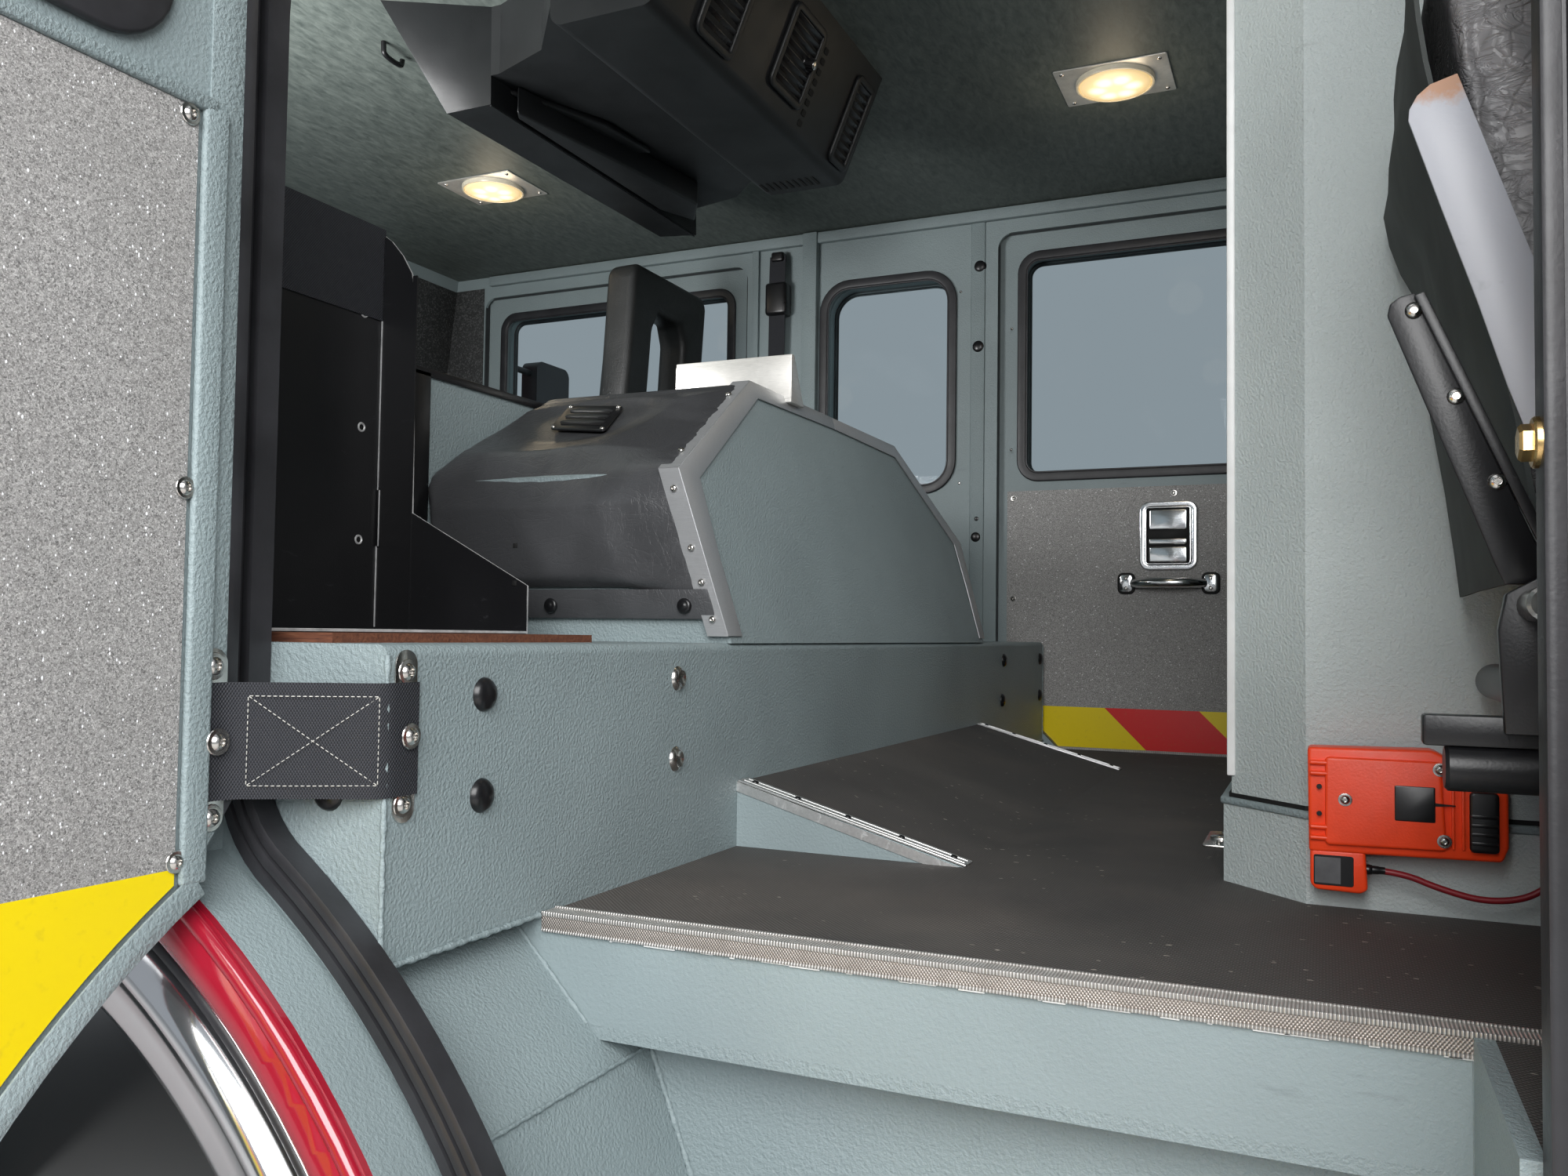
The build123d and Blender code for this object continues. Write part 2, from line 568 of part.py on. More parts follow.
def front_seat(x):
    """A front seat on the left: pedestal, cushion, and a back with a deep head shell, facing forward."""
    y0, y1 = FRONT_SEAT_Y
    base_z = FLOOR_Z + RISER_H
    seat = block(x - 60, min(x + 300, RISER_FRONT - 5), y0 + 60, y1 - 60, base_z, base_z + 90)
    cushion = block(x - 70, x + 420, y0, y1, base_z + 90, base_z + 200)
    back = side_prism([(x - 90, base_z + 160), (x + 30, base_z + 190), (x - 60, base_z + 900),
                       (x - 150, base_z + 910), (x - 190, base_z + 860)], y0 + 20, y1 - 20)
    seat += fillet(cushion.edges().filter_by(Axis.Y), 30)
    seat += fillet(back.edges().filter_by(Axis.Y), 28)
    return seat


def cooler_bracket():
    """Steel cradle for a drinks cooler: back plate, one gusseted side plate and a base."""
    z = FLOOR_Z + RISER_H + BOARD_T
    t = CRADLE_T
    y0, y1 = CRADLE_Y
    back = TUNNEL_BOX_X - 12
    front = back - CRADLE_LONG
    outline = [(front, z), (back, z), (back, z + CRADLE_H - 2), (back - 18, z + CRADLE_H - 14)]
    outline += [(back - 36, z + CRADLE_H - 34), (back - 52, z + CRADLE_H - 60), (back - 57, z + 142)]
    outline += [(front, z + 55)]
    side = side_prism(outline, y0, y0 + t)
    plate = block(back - t, back, y0, y1, z, z + CRADLE_H)
    return side + plate + block(front, back, y0, y1, z, z + t)


def cooler_board():
    """Wooden board under the cooler's cradle."""
    base = FLOOR_Z + RISER_H
    x0 = TUNNEL_BOX_X - 364
    return block(x0, TUNNEL_BOX_X - 10, CRADLE_Y[0] + 47, CRADLE_Y[1] + 7, base, base + BOARD_T)


def overhead_console():
    """Moulded overhead unit: a cross duct in front, a raised body, and an air unit behind it."""
    low_face = make_face(Polyline(*[(x, y, DUCT_Z) for x, y in DUCT_LOW], close=True))
    high_face = make_face(Polyline(*[(x, y, CEIL_Z) for x, y in DUCT_HIGH], close=True))
    duct = loft([low_face, high_face], ruled=True)
    middle = plan_prism(MIDDLE_PLAN, MIDDLE_Z, CEIL_Z)
    y0, y1 = UNIT_Y
    unit = side_prism(UNIT_SECTION, y0, y1)
    unit = fillet(unit.edges().filter_by(Axis.Y).group_by(Axis.Z)[0], 22)
    return duct + middle + unit


def front_wall():
    """Front of the cab: flat lower face, raked top with two windshield openings."""
    top_x = windshield_slope(WALL_TOP)
    in_x = FRONT_X - FRONT_T
    outline = [(FRONT_X, NOSE_Z), (FRONT_X, BELT_Z), (top_x, WALL_TOP)]
    outline += [(top_x - FRONT_T, WALL_TOP), (in_x, BELT_Z), (in_x, NOSE_Z)]
    wall = side_prism(outline, -IN_Y, IN_Y)
    cut = windshield_cut(FRONT_T * 2, 0)
    wall = wall - cut - mirrored(cut)
    return wall - block(FRONT_X - FRONT_T - 1, FRONT_X + 1, -GRILLE_Y, GRILLE_Y, *GRILLE_Z)


def front_grille():
    """Bright grille: a backing plate with level bars."""
    z0, z1 = GRILLE_Z
    grille = block(FRONT_X - 50, FRONT_X - 40, -GRILLE_Y, GRILLE_Y, z0, z1)
    pitch = (z1 - z0) / GRILLE_BARS
    for row in range(GRILLE_BARS):
        z = z0 + pitch * (row + 0.5)
        grille += block(FRONT_X - 40, FRONT_X - 6, -GRILLE_Y, GRILLE_Y, z - 6, z + 6)
    return grille


def windshield_cut(thick, shrink):
    """Left windshield as a raked slab, centred in the front wall's thickness."""
    z0, z1 = WIND_Z
    y0, y1 = WIND_Y
    mid = FRONT_T / 2
    return side_prism([
        (windshield_slope(z0 + shrink) - mid + thick / 2, z0 + shrink),
        (windshield_slope(z1 - shrink) - mid + thick / 2, z1 - shrink),
        (windshield_slope(z1 - shrink) - mid - thick / 2, z1 - shrink),
        (windshield_slope(z0 + shrink) - mid - thick / 2, z0 + shrink),
    ], y0 + shrink, y1 - shrink)


def roof():
    slab = plan_prism([(REAR_X, -SKIN_Y), (windshield_slope(WALL_TOP), -SKIN_Y),
                       (windshield_slope(WALL_TOP), SKIN_Y), (REAR_X, SKIN_Y)], WALL_TOP, ROOF_Z)
    slab = fillet(slab.edges().group_by(Axis.Z)[-1], 55)
    return slab


def dashboard():
    top = FLOOR_Z + 640
    outline = [(FRONT_X - FRONT_T, FLOOR_Z + 300), (FRONT_X - FRONT_T, BELT_Z),
               (windshield_slope(top) - FRONT_T, top), (-150, top), (-240, top - 60), (-240, FLOOR_Z + 380)]
    dash = side_prism(outline, -IN_Y, IN_Y)
    return dash


def steering_wheel():
    x, y, z = WHEEL_CENTRE
    rim = Torus(WHEEL_R, 14)
    hub = Cylinder(45, HUB_H)
    spokes = Box(2 * WHEEL_R - 10, 26, 12) + Box(26, 2 * WHEEL_R - 10, 12)
    return Pos(x, y, z) * Rot(0, -WHEEL_TILT, 0) * (rim + hub + spokes)


def steering_column():
    x, y, z = WHEEL_CENTRE
    lean = radians(WHEEL_TILT)
    drop = HUB_H / 2 + SEAT_GAP
    reach = (z - FLOOR_Z) / cos(lean) + COLUMN_R * 2
    top = (x + drop * sin(lean), y, z - drop * cos(lean))
    foot = (x + reach * sin(lean), y, z - reach * cos(lean))
    column = rod(top, foot, COLUMN_R)
    return column - block(x, x + reach, y - 100, y + 100, FLOOR_Z - 200, FLOOR_Z)


def cab_mounts():
    """Front pivot lugs with a through bore, and rear rest pads with two bolt holes each."""
    y0, y1 = PIVOT_Y
    under = FLOOR_Z - FLOOR_T
    lug = side_prism([(-70, under), (70, under), (45, 0), (-45, 0)], y0, y1) + rod((0, y0, 0), (0, y1, 0), 45)
    lug -= rod((0, y0 - 1, 0), (0, y1 + 1, 0), PIVOT_R)
    pad = block(REST_X - 70, REST_X + 70, REST_Y - 50, REST_Y + 50, under - 90, under)
    return both(lug) + both(pad)


def lead_route():
    """Charger lead: from the small box's side round to the grommet in the plinth."""
    x = CHARGER_X - 50
    y = CABINET_Y + PLINTH_OUT + 25
    z = FLOOR_Z
    return [(x, y, z + 42), (x - 28, y, z + 42), (x - 60, y + 2, z + 30), (x - 98, y + 4, z + 22),
            (x - 135, y + 2, z + 30), (x - 158, y + 1, z + 58), (x - 156, y, z + 96),
            (x - 156, CABINET_Y, z + 96)]


def charger():
    """Charger clipped to the cabinet's side, with a small supply box below it."""
    x = CHARGER_X
    body = block(x - CHARGER_LONG, x, CABINET_Y + PLINTH_OUT, CABINET_Y + 50, FLOOR_Z + 59, FLOOR_Z + 148)
    back_y = CABINET_Y + PLINTH_OUT + 1
    body += block(x - CHARGER_LONG + 8, x - 8, CABINET_Y, back_y, FLOOR_Z + PLINTH_H, FLOOR_Z + 144)
    body += block(x - 50, x - 2, CABINET_Y + PLINTH_OUT, CABINET_Y + 42, FLOOR_Z + 24, FLOOR_Z + 59)
    return body


def door_strap():
    """Webbing strap from the open door to the seat riser's corner."""
    z0, z1 = STRAP_Z
    t = STRAP_T
    riser_x = RISER_X - SEAT_GAP
    corner_y = IN_Y + SEAT_GAP
    hinge_x, hinge_y = door_hinge(REAR_JAMBS)
    door_x = hinge_x - (hinge_y - DOOR_Y) - SEAT_GAP
    outline = [(riser_x, STRAP_END_Y), (riser_x, corner_y), (door_x, hinge_y - 5), (door_x, hinge_y + 17)]
    outline += [(door_x - t, hinge_y + 17), (door_x - t, hinge_y - 4), (riser_x - t, corner_y + 1)]
    outline += [(riser_x - t, STRAP_END_Y)]
    return plan_prism(outline, z0, z1)


def side_mirror():
    """Left outside mirror on two arms, carried by the front door."""
    y0 = SKIN_Y
    x1 = FRONT_JAMBS[1] - MIRROR_SET
    z0, z1 = MIRROR_Z
    head = block(x1 - MIRROR_T, x1, y0 + 110, y0 + 290, z0, z1)
    head = fillet(head.edges().filter_by(Axis.X), 30)
    mid_x = x1 - MIRROR_T / 2
    for z in (z0 + 40, z1 - 40):
        head += rod((mid_x, y0, z), (mid_x, y0 + 115, z), 10)
    return head


def edge_trims():
    """Aluminium nosings on the step edges and down the ramp's two sides."""
    t = 2.0
    trims = []
    for x0, x1 in ((REAR_JAMBS[0] + PLATE_T, RISER_X), (RISER_FRONT, FRONT_JAMBS[1] - PLATE_T)):
        top = block(x0, x1, STEP_Y - 32, STEP_Y + t, FLOOR_Z, FLOOR_Z + t)
        top += block(x0, x1, STEP_Y, STEP_Y + t, FLOOR_Z - 24, FLOOR_Z)
        trims += both(top)
    high = FLOOR_Z + RAMP_H
    slope = [(RAMP_X, FLOOR_Z), (RISER_X, high), (RISER_X, high + 3), (RAMP_X, FLOOR_Z + 3)]
    return trims + both(side_prism(slope, RAMP_Y - 28, RAMP_Y))


def dome_light(x):
    """Left ceiling light: square plate and round lens."""
    y = DOME_Y
    lamp = block(x - 112, x + 112, y - 96, y + 96, CEIL_Z - 4, CEIL_Z)
    return lamp + Pos(x, y, CEIL_Z - 10) * Cylinder(DOME_R, 12)


def handrail(x):
    """Left upright grab rail on the outer skin."""
    z0, z1 = FLOOR_Z + 120, FLOOR_Z + 1050
    y = SKIN_Y + 62
    rail = rod((x, y, z0), (x, y, z1), RAIL_R)
    for z in (z0 + 15, z1 - 15):
        rail += rod((x, SKIN_Y, z), (x, y, z), RAIL_R - 3)
    return rail


def head_lamp():
    """Left lamp bezel on the front face."""
    lamp = block(FRONT_X, FRONT_X + 28, 640, 1090, FLOOR_Z - 320, FLOOR_Z - 90)
    return fillet(lamp.edges().filter_by(Axis.X), 20)


def light_bar():
    """Warning lamp bar across the roof, on two feet."""
    x0, x1 = BAR_X
    bar = block(x0, x1, -BAR_Y, BAR_Y, ROOF_Z + 30, ROOF_Z + 140)
    bar = fillet(bar.edges().filter_by(Axis.Z), 60)
    for y in (BAR_Y - 260, 260 - BAR_Y):
        bar += block(x0 + 60, x1 - 60, y - 60, y + 60, ROOF_Z, ROOF_Z + 30)
    return bar


def charger_lead():
    """Two-core lead from the small supply box round to the cabinet's grommet."""
    points = lead_route()
    runs = [(Vector(*b) - Vector(*a)) for a, b in zip(points, points[1:])]
    radii = []
    for a, b in zip(runs, runs[1:]):
        turn = radians(a.get_angle(b))
        radii.append(0.45 * min(a.length, b.length) / tan(turn / 2))
    print("lead radii", [round(r, 1) for r in radii])
    path = FilletPolyline(*points, radius=radii)
    section = Plane(origin=points[0], z_dir=runs[0]) * Circle(LEAD_R)
    return sweep(section, path=path)


def swing_open(shapes, hinge, angle):
    """Turn a door about its upright hinge line."""
    x, y = hinge
    turn = Pos(x, y, 0) * Rot(0, 0, angle) * Pos(-x, -y, 0)
    return [turn * shape for shape in shapes]


def build():
    nodes = {}
    nodes["floor_pan"] = floor_pan()
    wedge = [(RAMP_X, FLOOR_Z), (RISER_X, FLOOR_Z), (RISER_X, FLOOR_Z + RAMP_H)]
    nodes["floor_ramp"] = side_prism(wedge, -RAMP_Y, RAMP_Y)
    nodes["seat_riser"] = seat_riser()
    nodes["wheel_houses"] = both(wheel_house())
    nodes["steps"] = [piece for span in step_spans() for piece in both(step_box(*span))]
    nodes["engine_tunnel"] = engine_tunnel()
    nodes["tunnel_covers"] = both(tunnel_cover())
    nodes["side_wall_left"] = side_wall()
    nodes["side_wall_right"] = mirrored(nodes["side_wall_left"])
    nodes["fender_rings"] = both(fender_ring())
    nodes["rear_wall"] = block(REAR_X, REAR_IN, -IN_Y, IN_Y, SILL_Z, WALL_TOP)
    nodes["front_wall"] = front_wall()
    nodes["front_grille"] = front_grille()
    pane_y = SKIN_Y - WALL / 2
    nodes["fixed_glass"] = both(windshield_cut(8, 0)) + both(
        rounded_window(*SIDE_WINDOW, pane_y - GLASS_T / 2, pane_y + GLASS_T / 2, WINDOW_R))
    nodes["roof"] = roof()
    liner_x = windshield_slope(WALL_TOP) - FRONT_T
    nodes["headliner"] = block(REAR_IN, liner_x, -IN_Y, IN_Y, CEIL_Z, WALL_TOP)
    cabinet, roll_door = rear_cabinet()
    nodes["rear_cabinet"] = cabinet
    nodes["cabinet_door"] = roll_door
    nodes["jump_seats"] = both(jump_seat())
    nodes["seat_cushion_left"] = jump_cushion()
    nodes["seat_cushion_right"] = mirrored(nodes["seat_cushion_left"])
    nodes["front_seats"] = [front_seat(DRIVER_X), mirrored(front_seat(OFFICER_X))]
    nodes["cooler_bracket"] = cooler_bracket()
    nodes["cooler_board"] = cooler_board()
    nodes["overhead_console"] = overhead_console()
    nodes["dashboard"] = dashboard()
    nodes["steering_column"] = steering_column()
    nodes["steering_wheel"] = steering_wheel()
    nodes["cab_mounts"] = cab_mounts()
    nodes["charger"] = charger()
    nodes["door_strap"] = door_strap()
    hinges = {}
    piece_names = ("door", "door_panel", "door_glass", "door_handles")
    for place, jambs, latch_x in (("rear", REAR_JAMBS, REAR_LATCH_X), ("front", FRONT_JAMBS, FRONT_LATCH_X)):
        *left, hinge = door(jambs, latch_x)
        hinges[place] = hinge
        right = [[mirrored(solid) for solid in piece] for piece in left]
        if place == "rear":
            left = [swing_open(piece, hinge, -90) for piece in left]
        for piece_name, left_piece, right_piece in zip(piece_names, left, right):
            nodes[f"{piece_name}_{place}_left"] = left_piece
            nodes[f"{piece_name}_{place}_right"] = right_piece
    nodes["mirror_left"] = side_mirror()
    nodes["mirror_right"] = mirrored(nodes["mirror_left"])
    nodes["door_seals"] = [seal for jambs in (REAR_JAMBS, FRONT_JAMBS) for seal in both(door_seal(jambs))]
    nodes["edge_trims"] = edge_trims()
    vent_z = FLOOR_Z + TUNNEL_TOP[1]
    nodes["tunnel_box"] = block(*VENT_X, -VENT_Y, VENT_Y, vent_z, vent_z + VENT_H)
    nodes["dome_lights"] = [light for x in DOME_X for light in both(dome_light(x))]
    nodes["handrails"] = [rail for x in RAIL_X for rail in both(handrail(x))]
    nodes["head_lamps"] = both(head_lamp())
    nodes["light_bar"] = light_bar()
    nodes["charger_lead"] = charger_lead()
    return nodes, hinges


nodes, hinges = build()
os.makedirs("parts", exist_ok=True)
for name, shape in nodes.items():
    solids = shape if isinstance(shape, list) else [shape]
    solids = [solid for piece in solids for solid in piece.solids()]
    export_step(Compound(children=solids) if len(solids) > 1 else solids[0], f"parts/{name}.step")
for place, (x, y) in hinges.items():
    print(place, "door hinge at x", round(x, 2), "y", round(y, 2))
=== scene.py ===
from math import atan2, cos, pi, radians, sin, sqrt

import bmesh
import bpy
from mathutils import Matrix, Vector


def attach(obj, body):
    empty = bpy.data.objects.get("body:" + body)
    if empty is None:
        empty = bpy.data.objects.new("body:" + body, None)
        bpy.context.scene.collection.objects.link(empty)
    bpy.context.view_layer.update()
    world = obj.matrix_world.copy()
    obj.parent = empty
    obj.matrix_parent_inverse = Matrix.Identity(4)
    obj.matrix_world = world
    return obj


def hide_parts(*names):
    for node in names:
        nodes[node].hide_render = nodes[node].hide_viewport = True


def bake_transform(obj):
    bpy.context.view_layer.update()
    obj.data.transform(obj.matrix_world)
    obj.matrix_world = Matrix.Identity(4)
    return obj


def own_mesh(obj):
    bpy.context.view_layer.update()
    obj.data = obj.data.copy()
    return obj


# Looks for the crew cab. Tables are in millimetres, in the cab's frame; finished meshes are in metres.
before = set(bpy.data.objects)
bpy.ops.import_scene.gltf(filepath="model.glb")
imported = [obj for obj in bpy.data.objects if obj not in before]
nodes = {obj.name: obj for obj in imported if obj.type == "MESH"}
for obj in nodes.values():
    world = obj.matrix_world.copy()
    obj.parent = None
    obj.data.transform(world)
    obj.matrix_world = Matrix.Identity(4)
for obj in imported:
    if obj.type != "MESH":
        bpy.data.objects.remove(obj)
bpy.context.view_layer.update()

MM = 0.001
FLOOR = 250.0
CEILING = 1606.0
SKIN = 1219.0
INNER = 1150.0
RISER = -1858.0
PANEL = -1764.0
HINGE = Vector((-1722.0, 1212.0, 0.0))
AXLE = Vector((-1380.0, 0.0, -244.0))
RAKE_FOOT = 810.0
RAKE = 0.125
OPEN_DOOR = "door_rear_left_body"
SIDES = ((1, "left"), (-1, "right"))

# Camera, as solved from the photograph
EYE = (-2500.0, 1849.9, 504.0)
YAW = 0.4238418
PITCH = 0.0383297
ROLL = 0.0135789
LENS = 27.517


def set_camera():
    """Photo's camera: its yaw, pitch and roll turn it from looking along -Y."""
    forward = Vector((sin(YAW) * cos(PITCH), -cos(YAW) * cos(PITCH), sin(PITCH)))
    right = Vector((-cos(YAW), -sin(YAW), 0.0))
    up = right.cross(forward)
    turned_right = right * cos(ROLL) + up * sin(ROLL)
    turned_up = up * cos(ROLL) - right * sin(ROLL)
    camera = bpy.data.objects.new("camera", bpy.data.cameras.new("camera"))
    camera.data.lens = LENS
    camera.data.sensor_width = 36.0
    camera.data.sensor_fit = "HORIZONTAL"
    camera.data.clip_start = 0.02
    axes = Matrix((turned_right, turned_up, -forward)).transposed().to_4x4()
    camera.matrix_world = Matrix.Translation(Vector(EYE) * MM) @ axes
    bpy.context.scene.collection.objects.link(camera)
    bpy.context.scene.camera = camera


# Shader maths

class Value:
    """One output of a node. Sums and comparisons on it add Math nodes."""

    def __init__(self, finish, socket):
        self.finish = finish
        self.socket = socket

    def math(self, operation, *terms, clamp=False):
        settings = {"operation": operation, "use_clamp": clamp}
        return self.finish.node("Math", settings, dict(enumerate(terms)))

    def __add__(self, other):
        return self.math("ADD", self, other)

    __radd__ = __add__

    def __sub__(self, other):
        return self.math("SUBTRACT", self, other)

    def __rsub__(self, other):
        return self.math("SUBTRACT", other, self)

    def __mul__(self, other):
        return self.math("MULTIPLY", self, other)

    __rmul__ = __mul__

    def __truediv__(self, other):
        return self.math("DIVIDE", self, other)

    def __gt__(self, other):
        return self.math("GREATER_THAN", self, other)

    def __lt__(self, other):
        return self.math("LESS_THAN", self, other)

    def __abs__(self):
        return self.math("ABSOLUTE", self)

    def sine(self):
        return self.math("SINE", self)

    def root(self):
        return self.math("SQRT", self)

    def floor(self):
        return self.math("FLOOR", self)

    def smallest(self, other):
        return self.math("MINIMUM", self, other)

    def largest(self, other):
        return self.math("MAXIMUM", self, other)

    def between(self, low, high):
        """0 at low and 1 at high, held outside."""
        return self.finish.node("MapRange", {"clamp": True}, {0: self, 1: low, 2: high, 3: 0.0, 4: 1.0})


class Finish:
    """A material, built from nodes on a Principled shader."""

    def __init__(self, name, **sockets):
        self.material = bpy.data.materials.new(name)
        self.material.use_nodes = True
        self.tree = self.material.node_tree
        self.tree.nodes.clear()
        self.output = self.tree.nodes.new("ShaderNodeOutputMaterial")
        self.shader = self.tree.nodes.new("ShaderNodeBsdfPrincipled")
        self.tree.links.new(self.shader.outputs[0], self.output.inputs[0])
        self.place = self.node("TexCoord", out="Object")
        for socket, value in sockets.items():
            self.set(socket, value)

    def feed(self, socket, value):
        if isinstance(value, Value):
            self.tree.links.new(value.socket, socket)
        elif isinstance(value, tuple) and socket.type == "RGBA":
            socket.default_value = (*value[:3], 1.0)
        else:
            socket.default_value = value

    def node(self, kind, settings=None, inputs=None, out=0):
        made = self.tree.nodes.new("ShaderNode" + kind)
        for key, value in (settings or {}).items():
            if key == "stops":
                ramp = made.color_ramp
                while len(ramp.elements) < len(value):
                    ramp.elements.new(0.5)
                for element, (position, colour) in zip(ramp.elements, value):
                    element.position = position
                    element.color = (*colour, 1.0)
            elif key == "interpolation":
                made.color_ramp.interpolation = value
            else:
                setattr(made, key, value)
        for key, value in (inputs or {}).items():
            self.feed(made.inputs[key], value)
        return Value(self, made.outputs[out])

    def set(self, socket, value):
        self.feed(self.shader.inputs[socket.replace("_", " ")], value)

    def axes(self):
        return [self.node("SeparateXYZ", None, {0: self.place}, out=i) for i in range(3)]

    def stretched(self, scale, turn=(0.0, 0.0, 0.0)):
        return self.node("Mapping", None, {"Vector": self.place, "Scale": scale, "Rotation": turn})

    def noise(self, scale, detail=2.0, rough=0.5, where=None, distortion=0.0):
        inputs = {"Vector": where or self.place, "Scale": scale, "Detail": detail, "Roughness": rough,
                  "Distortion": distortion}
        return self.node("TexNoise", None, inputs)

    def cells(self, scale, feature="F1", where=None, out=0):
        inputs = {"Vector": where or self.place, "Scale": scale}
        return self.node("TexVoronoi", {"feature": feature}, inputs, out=out)

    def tones(self, scale, where=None, channel=0):
        """A random tone for each cell."""
        return self.node("SeparateColor", None, {0: self.cells(scale, where=where, out=1)}, out=channel)

    def ramp(self, value, stops, interpolation="LINEAR"):
        return self.node("ValToRGB", {"stops": stops, "interpolation": interpolation}, {0: value})

    def mix(self, share, first, second):
        return self.node("Mix", {"data_type": "RGBA"}, {0: share, 6: first, 7: second}, out=2)

    def bump(self, height, distance, strength=1.0, under=None):
        inputs = {"Height": height, "Distance": distance, "Strength": strength}
        if under:
            inputs["Normal"] = under
        return self.node("Bump", None, inputs)


# Colours of the paints and the reflective band

GREY_PAINT = (0.255, 0.312, 0.322)
# Paler copy of the grey coating for the cabinet: painted light falling on its face.
LIT_CABINET_PAINT = (0.50, 0.555, 0.55)
RED_PAINT = (0.28, 0.006, 0.020)
YELLOW = (0.86, 0.66, 0.0)
STRIPE_RED = (0.72, 0.012, 0.012)

# Where the paints and the band end, in metres
STRIPE_TOP = 0.333
RIM_IN, RIM_OUT = 0.604, 0.658
LIP_IN, LIP_OUT = 0.600, 0.700
LIP_FACE = 1.2135
REAR_JAMB, FRONT_JAMB = -1.740, -1.020
FRONT_FACE = 0.140
FRONT_SIDE = 1.152
FRONT_FOOT = -0.2
REAR_FACE = -3.0585
MAT_TOP = 0.2492


def coating(finish, colour=GREY_PAINT):
    """Colour, roughness and height of the sprayed spatter coating."""
    pebbles = finish.noise(330.0, 3.0, 0.55)
    fine = finish.noise(1100.0, 1.0)
    clouds = finish.noise(3.0, 3.0)
    dark = tuple(c * 0.86 for c in colour)
    pale = tuple(c * 1.10 for c in colour)
    base = finish.mix(clouds.between(0.3, 0.7), dark, pale)
    spots = finish.noise(60.0, 2.0).between(0.70, 0.80) * finish.noise(5.0).between(0.5, 0.7)
    base = finish.mix(spots * 0.35, base, tuple(c * 0.45 for c in colour))
    streaks = finish.noise(9.0, 4.0, 0.6, finish.stretched((1.0, 6.0, 6.0), (0.3, 0.5, 0.2)))
    base = finish.mix(streaks.between(0.66, 0.74) * 0.3, base, tuple(c * 0.5 for c in colour))
    rough = 0.40 + pebbles * 0.16
    height = pebbles.between(0.35, 0.75) + fine * 0.25
    return base, rough, height


def gloss_red(finish):
    clouds = finish.noise(2.0, 2.0)
    return finish.mix(clouds, RED_PAINT, (0.34, 0.009, 0.026))


def painted(name, red=None, colour=GREY_PAINT):
    """Grey coating, with red gloss paint where the mask is 1."""
    finish = Finish(name)
    base, rough, height = coating(finish, colour)
    if red is None:
        finish.set("Base Color", base)
        finish.set("Roughness", rough)
        finish.set("Normal", finish.bump(height, 0.0011, 0.7))
        return finish.material
    mask = red(finish)
    finish.set("Base Color", finish.mix(mask, base, gloss_red(finish)))
    finish.set("Roughness", rough * (1 - mask) + mask * 0.16)
    finish.set("Coat Weight", mask * 0.8)
    peel = finish.noise(220.0, 1.0)
    finish.set("Normal", finish.bump(height * (1 - mask) + peel * mask * 0.03, 0.0009, 0.55))
    return finish.material


def mat_on_coating(name, half_width):
    """Ribbed mat on the top face, and the grey coating on the edges."""
    finish = Finish(name)
    _, y, z = finish.axes()
    top = (z > MAT_TOP) * (abs(y) < half_width)
    base, rough, height = coating(finish)
    mat_base, mat_rough, mat_height = mat(finish)
    finish.set("Base Color", finish.mix(top, base, mat_base))
    finish.set("Roughness", rough * (1 - top) + mat_rough * top)
    finish.set("Normal", finish.bump(height * (1 - top) * 0.5 + mat_height * top * 0.6, 0.0009, 0.7))
    return finish.material


def wall_mask(finish):
    """Outer skin. In the doorways only the rim of the arch's lip is red."""
    x, y, z = finish.axes()
    outside = abs(y) > (SKIN - 1.5) * MM
    across = x - AXLE.x * MM
    up = z - AXLE.z * MM
    radius = (across * across + up * up).root()
    rim = (radius > RIM_IN) * (radius < RIM_OUT) * (abs(y) > LIP_FACE)
    doorway = ((x < REAR_JAMB) + (x > FRONT_JAMB)).smallest(1.0)
    grey_zone = (radius > LIP_IN) * (radius < LIP_OUT) * doorway
    return outside * (1 - grey_zone) + grey_zone * rim


def outside_y(finish):
    """A shut door's outer face."""
    return abs(finish.axes()[1]) > (SKIN - 1.5) * MM


def outside_open_door(finish):
    """The open door's outer face, which looks forward."""
    return finish.axes()[0] > (HINGE.x + 5.5) * MM


def front_skin(finish):
    """The raked outer face, the corners and the foot."""
    x, y, z = finish.axes()
    rake = (z - RAKE_FOOT * MM).largest(0.0) * RAKE
    ahead = (x + rake) > FRONT_FACE
    return ahead.largest(abs(y) > FRONT_SIDE).largest(z < FRONT_FOOT)


def rear_skin(finish):
    """The rear wall's outer face."""
    return finish.axes()[0] < REAR_FACE


def gloss_paint(name):
    """Red gloss paint with slight orange peel."""
    finish = Finish(name, Roughness=0.16, Coat_Weight=0.8)
    finish.set("Base Color", gloss_red(finish))
    finish.set("Normal", finish.bump(finish.noise(220.0, 1.0), 0.0004, 0.1))
    return finish.material


